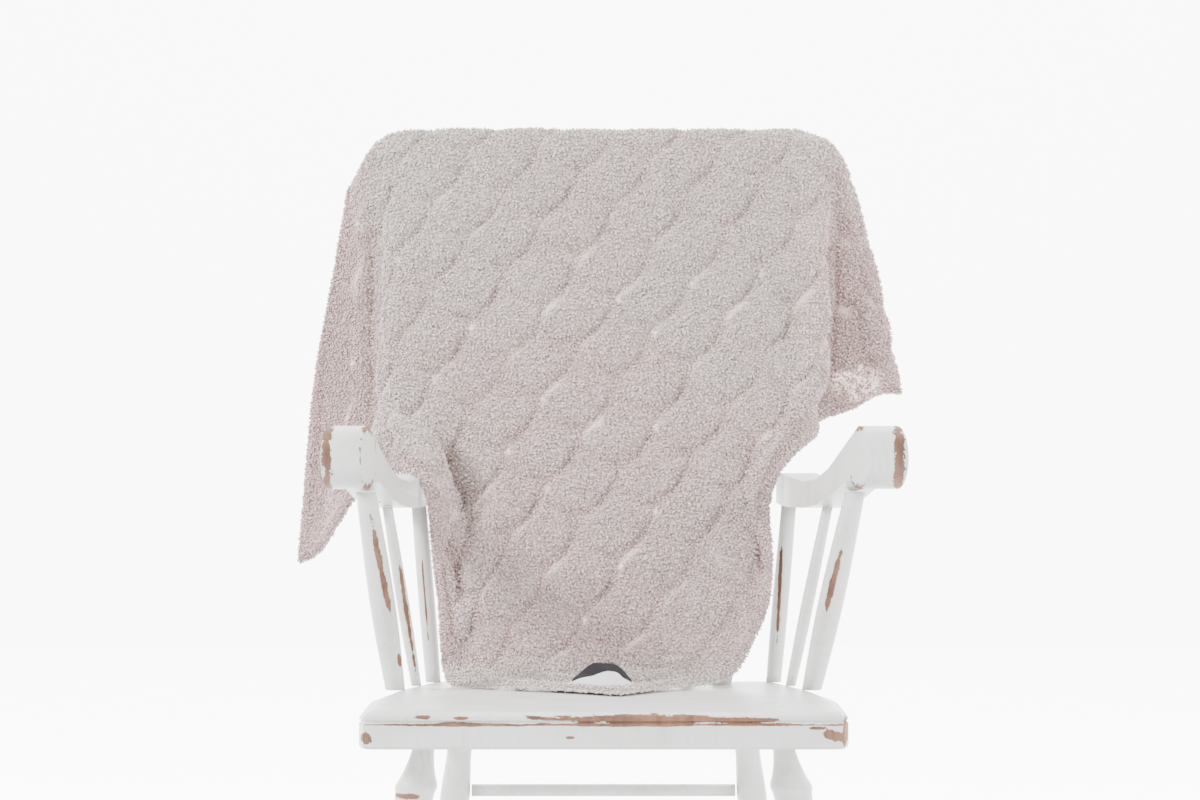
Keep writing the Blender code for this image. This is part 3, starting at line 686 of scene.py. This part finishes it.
def knit_finish(settings):
    """Brushed chenille: greyish beige on the cables, with painted shade making the seams and the two flaps
    pinker, painted crease shadows and curl roots, a painted lighter right flap and a painted glow at slits
    and a see-through spot.
    """
    finish = Finish(
        "brushed chenille knit",
        settings.knit_colour,
        Roughness=1.0,
        Specular_IOR_Level=0.15,
        Sheen_Weight=0.35,
        Sheen_Roughness=0.6,
        Emission_Strength=1.5,
    )
    x, _, z = finish.axes()
    shift_x = float(SHIFT[0])
    # Painted shade: the seams between cables and both flaps take the pinker, darker seam colour. Drift adds
    # random pink tone, and low and heart make the lower and middle panel pinker.
    seam = 1 - finish.value("lobe")
    flap_shade = (x - shift_x).size().ramp(0.250, 0.290)
    low = z.ramp(1.04, 0.60)
    drift = finish.noise(7.0, 2.0).ramp(0.35, 0.65)
    heart = (x - shift_x + 0.03).size().ramp(0.20, 0.06)
    pink = (seam * 0.40 + flap_shade * 0.40 + drift * 0.28 + low * 0.38 + heart * 0.20).least(1.0)
    pink = pink * (0.35 + 0.65 * z.ramp(0.456, 0.490))
    colour = finish.mix(pink, settings.knit_colour, settings.seam_colour)
    curl = finish.noise(390.0, 3.0, 0.7).ramp(0.34, 0.62)
    # Random tone of each curl with painted shade: dark at the curls' roots and on the ground sheet, light at
    # their tips
    tone_and_shading = finish.value("tone_and_shading") * 0.84 + curl * 0.62 + 0.31
    # Painted light: the right flap, past x 0.228, is painted 13% lighter
    thin = (x - shift_x).ramp(0.228, 0.262)
    tone_and_shading = tone_and_shading * (1 - finish.value("crease_shadow") * 0.55) * (1 + thin * 0.13)
    grey = finish.node("ShaderNodeCombineColor", values={0: tone_and_shading, 1: tone_and_shading, 2: tone_and_shading})
    colour = finish.mix(1.0, colour, grey, "MULTIPLY")
    # Painted light: bright glowing dots in the see-through spot
    spot_x, spot_z, half_x, half_z = SEE_THROUGH_SPOT
    spot = ((x - (spot_x + shift_x)) / half_x) ** 2 + ((z - spot_z) / half_z) ** 2
    spot = (spot + (finish.noise(70.0, 2.0) - 0.5) * 3.0).ramp(1.3, 0.2)
    dots = finish.noise(300.0, 1.0).ramp(0.48, 0.56) * spot
    # Painted light: slits and the see-through spot take the glow colour and emit it, the slits more strongly
    # lower down
    slit = finish.value("gap_glow") * (0.30 + 0.70 * z.ramp(1.06, 0.86))
    colour = finish.mix(slit.most(dots).least(1.0), colour, settings.gap_glow_colour)
    glow = (slit * 0.24 + (slit - 0.80).most(0.0) * 2.4).most(dots * 0.75).least(1.0)
    finish.feed("Emission Color", finish.mix(glow, (0.0, 0.0, 0.0), settings.gap_glow_colour))
    finish.material.cycles.emission_sampling = "NONE"
    finish.feed("Base Color", colour)
    finish.bump(finish.noise(520.0, 3.0, 0.6), 0.0012, 0.7)
    return finish.material


def satin_finish(settings):
    """Woven satin tab: white, and charcoal along its free back edge."""
    finish = Finish("woven satin tab", settings.label_colour, Roughness=0.40, Specular_IOR_Level=0.25)
    band = finish.value("depth").ramp(0.50, 0.54)
    band = band * finish.value("side").size().ramp(0.93, 0.87)
    finish.feed("Base Color", finish.mix(band, settings.label_colour, settings.band_colour))
    finish.feed("Roughness", band * 0.45 + 0.40)
    x, y, _ = finish.axes()
    weave = (x * 9000.0).maths("SINE", x * 9000.0) * 0.5 + (y * 7000.0).maths("SINE", y * 7000.0) * 0.5
    finish.bump(weave, 0.00006, 0.5)
    return finish.material


def painted_wood(name, settings, patches=(), lines=(), rims=()):
    """Brushed white paint on brown wood, the wood's colour showing at the patches, edge lines and scroll
    rims, most of them rubbed through.

    patches: x, z, half width, half height and lean in degrees, in the chair's plan.
    lines: x from, x to, z and half height of a dark line along an edge.
    rims: x, half width, y, z and radius of a scroll.
    """
    finish = Finish(name, settings.paint_colour, Roughness=0.42, Specular_IOR_Level=0.45)
    x, y, z = finish.axes()
    shift_x, shift_y = float(SHIFT[0]), float(SHIFT[1])
    ragged = finish.noise(95.0, 4.0, 0.62, stretch=(1, 1, 0.45)) - 0.5
    fine = finish.noise(420.0, 3.0, 0.6) - 0.5
    bare_wood = finish.noise(38.0, 5.0, 0.65).ramp(0.705, 0.745)
    bare_wood = bare_wood.most(finish.noise(150.0, 3.0, 0.7, stretch=(1, 1, 0.35)).ramp(0.735, 0.775) * 0.7)
    for at_x, at_z, half_x, half_z, lean in patches:
        turn = math.radians(lean)
        off_x, off_z = x - (at_x + shift_x), z - at_z
        side = off_x * math.cos(turn) + off_z * math.sin(turn)
        rise = off_z * math.cos(turn) - off_x * math.sin(turn)
        reach = ((side / half_x) ** 2 + (rise / half_z) ** 2) ** 0.5
        bare_wood = bare_wood.most((reach + ragged * 1.7 + fine * 0.7).ramp(1.06, 0.94))
    for start, end, at_z, half_z in lines:
        along = (x - ((start + end) / 2 + shift_x)).size() / ((end - start) / 2)
        reach = (z - at_z).size() / half_z + (along ** 6) * 0.8
        streak = finish.noise(34.0, 4.0, 0.7, stretch=(0.35, 1, 2.2)) - 0.5
        bare_wood = bare_wood.most((reach + streak * 6.5 + fine * 1.2).ramp(1.25, 1.12))
    for at_x, half, at_y, at_z, radius in rims:
        out = (x - (at_x + shift_x)).size()
        ring = ((y - (at_y + shift_y)) ** 2 + (z - at_z) ** 2) ** 0.5
        inner, outer = (radius - ring).most(0.0) / 0.0065, (ring - radius - 0.004).most(0.0) / 0.0070
        near = (out - half).size() / 0.0048 + inner + outer
        bare_wood = bare_wood.most((near + ragged * 3.4 + fine * 1.3).ramp(1.12, 0.98))
    grain = finish.noise(60.0, 5.0, 0.6, stretch=(1, 1, 0.12))
    wood = finish.mix(grain.ramp(0.3, 0.7), settings.wood_colour, settings.wood_dark)
    cloudy = finish.noise(16.0, 3.0).ramp(0.42, 0.72) * 0.40
    cloudy = cloudy + finish.noise(170.0, 3.0, 0.6, stretch=(1, 1, 0.12)).ramp(0.50, 0.75) * 0.45
    paint = finish.mix(cloudy.least(1.0), settings.paint_colour, settings.paint_shade)
    finish.feed("Base Color", finish.mix(bare_wood, paint, wood))
    finish.feed("Roughness", bare_wood * 0.3 + grain * 0.1 + 0.36)
    brush = finish.noise(210.0, 3.0, 0.6, stretch=(1, 1, 0.2))
    finish.bump(brush * 0.35 + grain * 0.25 - bare_wood * 0.8, 0.0005, 0.8)
    return finish.material


def colour_setting(name, description, default):
    return FloatVectorProperty(name=name, description=description, subtype="COLOR", default=default)


def length_setting(name, description, default):
    return FloatProperty(name=name, description=description, default=default, unit="LENGTH")


class BlanketSettings(bpy.types.PropertyGroup):
    lobe_rise: length_setting("Cable height", "How far a cable stands over the ground", 0.0085)
    tuft_pitch: length_setting("Pile pitch", "Distance between curls of the pile", 0.0034)
    tuft_length: length_setting("Pile length", "Mean length of a curl of the pile", 0.0046)
    tuft_width: length_setting("Pile width", "Mean half width of a curl of the pile", 0.0014)
    knit_colour: colour_setting("Knit", "Colour of the cables", (0.650, 0.588, 0.552))
    # Pinker, darker colour: painted shade in the seams and down the flaps, also random pink tone and a pinker
    # lower middle panel
    seam_colour: colour_setting("Seams", "Colour between the cables", (0.665, 0.500, 0.478))
    # Painted light: colour of the glowing slits and the see-through spot
    gap_glow_colour: colour_setting("Light gaps", "Colour of the thin slits between cables", (1.000, 0.850, 0.800))
    label_colour: colour_setting("Label", "Colour of the satin tab", (0.88, 0.88, 0.90))
    # Charcoal along the tab's free back edge
    band_colour: colour_setting("Label band", "Colour of the tab's plain band", (0.022, 0.020, 0.022))
    seed: IntProperty(name="Seed", description="Seed of the pile's jitter", default=7)


class ChairSettings(bpy.types.PropertyGroup):
    paint_colour: colour_setting("Paint", "Colour of the brushed paint", (0.77, 0.77, 0.755))
    paint_shade: colour_setting("Paint shade", "Colour where the paint is thin", (0.58, 0.565, 0.535))
    wood_colour: colour_setting("Bare wood", "Colour where paint is rubbed off", (0.235, 0.110, 0.058))
    wood_dark: colour_setting("Wood grain", "Dark grain of the bare wood", (0.090, 0.042, 0.025))
    edge_round: length_setting("Edge rounding", "Rounding of the boards' edges", 0.0022)


class StudioSettings(bpy.types.PropertyGroup):
    floor_colour: colour_setting("Floor", "Colour of the floor and backdrop", (0.93, 0.93, 0.93))
    eye_distance: length_setting("Camera distance", "From the camera to the seat's plan origin", 4.25)
    eye_height: length_setting("Camera height", "Height of the level camera", 0.77)
    lens: FloatProperty(name="Lens", description="Focal length in millimetres", default=113.5)


def pick(piece):
    """Select one piece alone and make it active."""
    for thing in bpy.context.selected_objects:
        thing.select_set(False)
    piece.select_set(True)
    bpy.context.view_layer.objects.active = piece


def solid_copy(node):
    """A copy of a frame solid, its triangles merged into whole faces. It stands for that solid."""
    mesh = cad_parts[node].data.copy()
    mesh.name = f"{node}_wood"
    mesh.materials.clear()
    piece = bpy.data.objects.new(f"{node}_wood", mesh)
    bpy.context.scene.collection.objects.link(piece)
    pick(piece)
    bpy.ops.object.mode_set(mode="EDIT")
    bpy.ops.mesh.select_all(action="SELECT")
    bpy.ops.mesh.remove_doubles(threshold=0.00002)
    bpy.ops.mesh.dissolve_limited(angle_limit=math.radians(0.6))
    bpy.ops.object.mode_set(mode="OBJECT")
    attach(piece, "root")
    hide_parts(node)
    return piece


def finish_with(piece, kind, **settings):
    """Add one modifier to a piece and apply it."""
    pick(piece)
    modifier = piece.modifiers.new(kind.title(), kind)
    for key, value in settings.items():
        setattr(modifier, key, value)
    bpy.ops.object.modifier_apply(modifier=modifier.name)


def hold_flat_ends(piece):
    """Keep the flat end faces of a post crisp when it is rounded."""
    shape = bmesh.new()
    shape.from_mesh(piece.data)
    crease = shape.edges.layers.float.new("crease_edge")
    for face in shape.faces:
        if len(face.verts) > 6:
            for edge in face.edges:
                edge[crease] = 1.0
    shape.to_mesh(piece.data)
    shape.free()


TURNED = tuple(
    [f"leg_{row}_{side}" for row in ("front", "rear") for side in ("left", "right")]
    + [f"stretcher_{side}" for side in ("rear", "front", "left", "right")]
    + [f"arm_post_{row}_{side}" for row in ("front", "middle", "rear") for side in ("left", "right")]
    + [f"back_stile_{side}" for side in ("left", "right")]
    + [f"back_spindle_{i}" for i in range(1, 6)]
)

# Rubbed places on the posts: x, z, half width, half height, lean in degrees
POST_WEAR = (
    (-0.2440, 0.5794, 0.0034, 0.0500, 9.4),
    (-0.2268, 0.4750, 0.0022, 0.0080, 8.0),
    (-0.2210, 0.5260, 0.0022, 0.0620, 7.4),
    (-0.2046, 0.5350, 0.0012, 0.0500, 5.0),
    (0.2603, 0.5658, 0.0036, 0.0320, -12.0),
    (0.2250, 0.5300, 0.0022, 0.0420, -8.0),
    (0.2100, 0.5440, 0.0022, 0.0560, -3.0),
)
# Dark bands round the front legs' turned rings, in the bare wood's colour: x, z, half width, half height,
# lean in degrees
LEG_RING_BANDS = (
    (-0.2060, 0.3430, 0.0160, 0.0030, 0.0),
    (0.2190, 0.3330, 0.0120, 0.0028, 0.0),
)
SEAT_WEAR = (
    (-0.1880, 0.4345, 0.0090, 0.0022, 0.0),
    (-0.1480, 0.4335, 0.0080, 0.0020, 0.0),
    (-0.0310, 0.4130, 0.0050, 0.0016, 0.0),
    (-0.2480, 0.4120, 0.0060, 0.0070, 20.0),
    (0.2470, 0.4150, 0.0110, 0.0055, -12.0),
    (0.2600, 0.4210, 0.0030, 0.0170, 0.0),
    (0.2300, 0.4230, 0.0080, 0.0020, 0.0),
)

# Dark lines in the bare wood's colour along the seat's front, the upper a worn edge and the lower a thin line
# at a groove: x from, x to, z, half height
SEAT_LINES = (
    (-0.075, 0.190, 0.4322, 0.0028),
    (-0.250, 0.258, 0.4265, 0.0012),
)

# Worn rims of the arms' scrolls: x, half width, y, z, radius
ARM_RIMS = (
    (-0.2735, 0.0215, -0.136, 0.7075, 0.0345),
    (0.3020, 0.0215, -0.136, 0.7075, 0.0345),
)


class CHAIR_OT_turn_posts(bpy.types.Operator):
    """Round the legs, stretchers, arm posts, stiles and spindles and paint them"""

    bl_idname = "chair.turn_posts"
    bl_label = "Turned posts"

    def execute(self, context):
        settings = context.scene.draped_chair
        post_paint = painted_wood("painted post", settings, POST_WEAR)
        leg_paint = painted_wood("painted leg", settings, LEG_RING_BANDS)
        for node in TURNED:
            piece = solid_copy(node)
            hold_flat_ends(piece)
            finish_with(piece, "SUBSURF", levels=2, render_levels=2)
            piece.data.shade_smooth()
            paint = leg_paint if node.startswith(("leg", "stretcher")) else post_paint
            piece.data.materials.append(paint)
        return {"FINISHED"}


class CHAIR_OT_round_boards(bpy.types.Operator):
    """Round the edges of the seat, arms and crest rail and paint them"""

    bl_idname = "chair.round_boards"
    bl_label = "Seat, arms and crest rail"

    def execute(self, context):
        settings = context.scene.draped_chair
        seat_paint = painted_wood("painted seat", settings, SEAT_WEAR, lines=SEAT_LINES)
        arm_paint = painted_wood("painted arm", settings, rims=ARM_RIMS)
        crest_paint = painted_wood("painted rail", settings)
        for node, paint in (
            ("seat", seat_paint),
            ("arm_left", arm_paint),
            ("arm_right", arm_paint),
            ("crest_rail", crest_paint),
        ):
            piece = solid_copy(node)
            width = settings.edge_round if node != "seat" else settings.edge_round * 0.5
            finish_with(
                piece,
                "BEVEL",
                width=width,
                segments=3,
                limit_method="ANGLE",
                angle_limit=math.radians(28),
                use_clamp_overlap=True,
            )
            pick(piece)
            bpy.ops.object.shade_smooth_by_angle(angle=math.radians(32))
            piece.data.materials.append(paint)
        return {"FINISHED"}


class BLANKET_OT_hang_knit(bpy.types.Operator):
    """Hang the knitted cloth over the crest rail, with its cables and brushed pile"""

    bl_idname = "blanket.hang_knit"
    bl_label = "Knitted cloth and pile"

    def execute(self, context):
        settings = context.scene.draped_blanket
        cloth = draped_cloth(round(settings.lobe_rise, 5))
        rows, columns = cloth["lobe"].shape
        points = np.concatenate([cloth["face"].reshape(-1, 3), cloth["under"].reshape(-1, 3)])
        piece = mesh_piece("blanket_knit", points, sheet_faces(rows, columns))
        face_outwards(piece)
        for name in MARKS:
            paint_values(piece, name, np.tile(cloth[name].ravel(), 2))
        # The ground sheet under the pile gets a low value: painted shade as dark as the curls' roots
        paint_values(piece, "tone_and_shading", np.full(2 * rows * columns, 0.05))
        finish = knit_finish(settings)
        piece.data.materials.append(finish)
        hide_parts("blanket")
        pile = self.brush_pile(settings, cloth, finish)
        label = sew_label(settings)
        return {"FINISHED"}

    def brush_pile(self, settings, cloth, finish):
        dice = np.random.default_rng(settings.seed)
        row, column = tuft_spots(settings.tuft_pitch, dice)
        root = blend_grid(cloth["face"], row, column)
        normal = blend_grid(cloth["normal"], row, column)
        marks = np.stack([blend_grid(cloth[name], row, column) for name in MARKS], axis=1)
        in_label = np.abs(root[:, 0] - SHIFT[0] - LABEL_X) < LABEL_WIDTH / 2 + 0.001
        in_label &= np.abs(root[:, 1] - SHIFT[1] - LABEL_Y - LABEL_DEPTH * 0.35) < LABEL_DEPTH * 0.42
        in_label &= root[:, 2] < 0.47
        keep = ~in_label
        root, normal, marks, row = root[keep], normal[keep], marks[keep], row[keep]
        bands = np.minimum((row * 3).astype(int), 2)
        edge_root, edge_out = edge_tufts(cloth, settings.tuft_pitch * 0.32, dice)
        batches = [(root[bands == i], normal[bands == i], marks[bands == i], 1.0) for i in range(3)]
        batches.append((edge_root, edge_out * 1.6, np.tile((0.6, 0.0, 0.0), (len(edge_root), 1)), 0.95))
        made = []
        for name, (at, out, high, size) in zip(("lower", "middle", "upper", "edge"), batches):
            heading = out + dice.normal(scale=0.62, size=out.shape) + (0, 0, -0.18)
            length = settings.tuft_length * size * dice.uniform(0.7, 1.35, len(at))
            length = length * (0.72 + 0.28 * high[:, 0])
            width = settings.tuft_width * dice.uniform(0.75, 1.3, len(at))
            points = tuft_points(at, heading, length, width, dice)
            floor = SEAT_TOP + REST_GAP
            near_seat = at[:, None, 2] < floor + 0.05
            points[..., 2] = np.where(near_seat, np.maximum(points[..., 2], floor), points[..., 2])
            faces = (np.arange(len(at))[:, None, None] * 6 + TUFT_FACES[None]).reshape(-1, 3)
            piece = mesh_piece(f"blanket_pile_{name}", points.reshape(-1, 3), faces)
            face_outwards(piece)
            for i, mark in enumerate(MARKS):
                paint_values(piece, mark, np.repeat(high[:, i], 6))
            # Each curl's random tone, times its painted shade from dark root to light tip
            tone_and_shading = 1.0 - 0.75 * dice.uniform(0, 1, len(at)) ** 1.6
            paint_values(piece, "tone_and_shading", (tone_and_shading[:, None] * TUFT_SHADES).ravel())
            piece.data.materials.append(finish)
            made.append(piece)
        return made


def sew_label(settings):
    """The satin tab that arches up from the cloth, and the stitches along its front edge."""
    ground = bpy.data.objects["blanket_knit"]
    across, along = 56, 20
    under = np.zeros((across + 1, along + 1, 3))
    sides, depths = np.linspace(1, -1, across + 1), np.linspace(0, 1, along + 1)
    for i, side in enumerate(sides):
        for j, share in enumerate(depths):
            x = SHIFT[0] + LABEL_X + side * LABEL_WIDTH / 2
            y = SHIFT[1] + LABEL_Y + LABEL_DEPTH * share
            hit, spot, _, _ = ground.ray_cast(Vector((x, y, 1.0)), Vector((0, 0, -1)))
            if not hit:
                raise RuntimeError("the label finds no cloth under it")
            arch = LABEL_RISE * (1 - abs(side) ** 2.6) * share ** 0.9
            ripple = 0.0006 * math.sin(9 * side + 4 * share) * share
            under[i, j] = x, y, spot.z + LABEL_SEAT + arch + ripple
    face = under + (0, 0, LABEL_THICK)
    points = np.concatenate([face.reshape(-1, 3), under.reshape(-1, 3)])
    tab = mesh_piece("label_tab", points, sheet_faces(across + 1, along + 1))
    face_outwards(tab)
    side_grid, depth_grid = np.meshgrid(sides, depths, indexing="ij")
    paint_values(tab, "side", np.tile(side_grid.ravel(), 2))
    paint_values(tab, "depth", np.tile(depth_grid.ravel(), 2))
    satin = satin_finish(settings)
    tab.data.materials.append(satin)
    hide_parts("label")

    thread = Finish("sewing thread", settings.label_colour, Roughness=0.7).material
    count = 22
    seam = face[np.linspace(1, across - 1, count).astype(int), 1]
    heading = np.tile((1.0, 0.25, 0.0), (count, 1))
    dice = np.random.default_rng(settings.seed + 1)
    curls = tuft_points(seam, heading, np.full(count, 0.0020), np.full(count, 0.00035), dice)
    faces = (np.arange(count)[:, None, None] * 6 + TUFT_FACES[None]).reshape(-1, 3)
    stitches = mesh_piece("label_stitches", curls.reshape(-1, 3), faces)
    face_outwards(stitches)
    stitches.data.materials.append(thread)
    return [tab, stitches]


# Floor and backdrop: their size, and the backdrop's middle
PAPER_SIZE = 60.0
BACKDROP_AT = (0.0, 7.5, 24.0)
# Soft lamps: name, place, aim, size and power
LAMPS = (
    ("key", (-3.2, -1.7, 2.8), (0.0, 0.1, 0.7), 0.9, 235.0),
    ("fill", (3.2, -2.4, 1.7), (0.0, 0.1, 0.7), 1.8, 120.0),
    ("left_back", (-2.2, 2.6, 2.2), (0.0, 0.1, 0.8), 1.6, 80.0),
    ("right_back", (2.2, 2.6, 2.2), (0.0, 0.1, 0.8), 1.6, 80.0),
    ("paper", (0.0, 4.0, 4.5), (0.0, 6.0, 0.5), 5.0, 260.0),
)


class STUDIO_OT_set_stage(bpy.types.Operator):
    """Set the pale floor and backdrop, the soft lights and the level camera"""

    bl_idname = "studio.set_stage"
    bl_label = "Floor, lights and camera"

    def execute(self, context):
        settings = context.scene.draped_studio
        self.lay_floor(settings)
        self.hang_lights(context)
        self.stand_camera(context, settings)
        return {"FINISHED"}

    def lay_floor(self, settings):
        bpy.ops.object.select_all(action="DESELECT")
        bpy.ops.mesh.primitive_plane_add(size=PAPER_SIZE, location=(0, 0, 0))
        floor = bpy.context.object
        floor.name = "studio_floor"
        upright = (math.pi / 2, 0, 0)
        bpy.ops.mesh.primitive_plane_add(size=PAPER_SIZE, location=BACKDROP_AT, rotation=upright)
        wall = bpy.context.object
        wall.name = "studio_backdrop"
        bpy.ops.object.transform_apply(location=True, rotation=True, scale=True)
        finish = Finish(
            "pale studio paper",
            settings.floor_colour,
            Roughness=0.9,
            Emission_Color=(1.0, 1.0, 1.0, 1.0),
            Emission_Strength=7.5,
        )
        for sheet in (floor, wall):
            sheet.data.materials.append(finish.material)
            sheet.visible_diffuse = False

    def hang_lights(self, context):
        world = bpy.data.worlds.new("soft studio")
        world.use_nodes = True
        world.node_tree.nodes["Background"].inputs["Color"].default_value = (1.0, 1.0, 1.0, 1.0)
        world.node_tree.nodes["Background"].inputs["Strength"].default_value = 1.60
        context.scene.world = world
        for name, at, aim, size, power in LAMPS:
            lamp = bpy.data.lights.new(name, "AREA")
            lamp.shape = "SQUARE"
            lamp.size = size
            lamp.energy = power
            stand = bpy.data.objects.new(name, lamp)
            stand.location = at
            stand.rotation_euler = (Vector(aim) - Vector(at)).to_track_quat("-Z", "Y").to_euler()
            context.scene.collection.objects.link(stand)

    def stand_camera(self, context, settings):
        lens = bpy.data.cameras.new("photograph")
        lens.lens = settings.lens
        lens.sensor_width = 36.0
        lens.sensor_fit = "HORIZONTAL"
        lens.clip_end = 60.0
        camera = bpy.data.objects.new("photograph", lens)
        shift_x, shift_y = float(SHIFT[0]), float(SHIFT[1])
        camera.location = (shift_x, shift_y - settings.eye_distance, settings.eye_height)
        camera.rotation_euler = (math.pi / 2, 0.0, 0.0)
        context.scene.collection.objects.link(camera)
        context.scene.camera = camera


OPERATORS = (CHAIR_OT_turn_posts, CHAIR_OT_round_boards, BLANKET_OT_hang_knit, STUDIO_OT_set_stage)


class VIEW3D_PT_draped_blanket(bpy.types.Panel):
    """The pieces of the blanket and its chair, in the order in which they are made"""

    bl_idname = "VIEW3D_PT_draped_blanket"
    bl_label = "Draped blanket"
    bl_space_type = "VIEW_3D"
    bl_region_type = "UI"
    bl_category = "Blanket"

    def draw(self, context):
        for group in ("draped_chair", "draped_blanket", "draped_studio"):
            settings = getattr(context.scene, group)
            column = self.layout.column()
            for name in settings.__annotations__:
                column.prop(settings, name)
        for operator in OPERATORS:
            self.layout.operator(operator.bl_idname)


GROUPS = (
    ("draped_blanket", BlanketSettings),
    ("draped_chair", ChairSettings),
    ("draped_studio", StudioSettings),
)


def register():
    for name, group in GROUPS:
        bpy.utils.register_class(group)
        setattr(bpy.types.Scene, name, PointerProperty(type=group))
    for operator in OPERATORS:
        bpy.utils.register_class(operator)
    bpy.utils.register_class(VIEW3D_PT_draped_blanket)


def unregister():
    bpy.utils.unregister_class(VIEW3D_PT_draped_blanket)
    for operator in reversed(OPERATORS):
        bpy.utils.unregister_class(operator)
    for name, group in reversed(GROUPS):
        delattr(bpy.types.Scene, name)
        bpy.utils.unregister_class(group)


def main():
    register()
    bpy.ops.chair.turn_posts()
    bpy.ops.chair.round_boards()
    bpy.ops.blanket.hang_knit()
    bpy.ops.studio.set_stage()


if __name__ == "__main__":
    main()
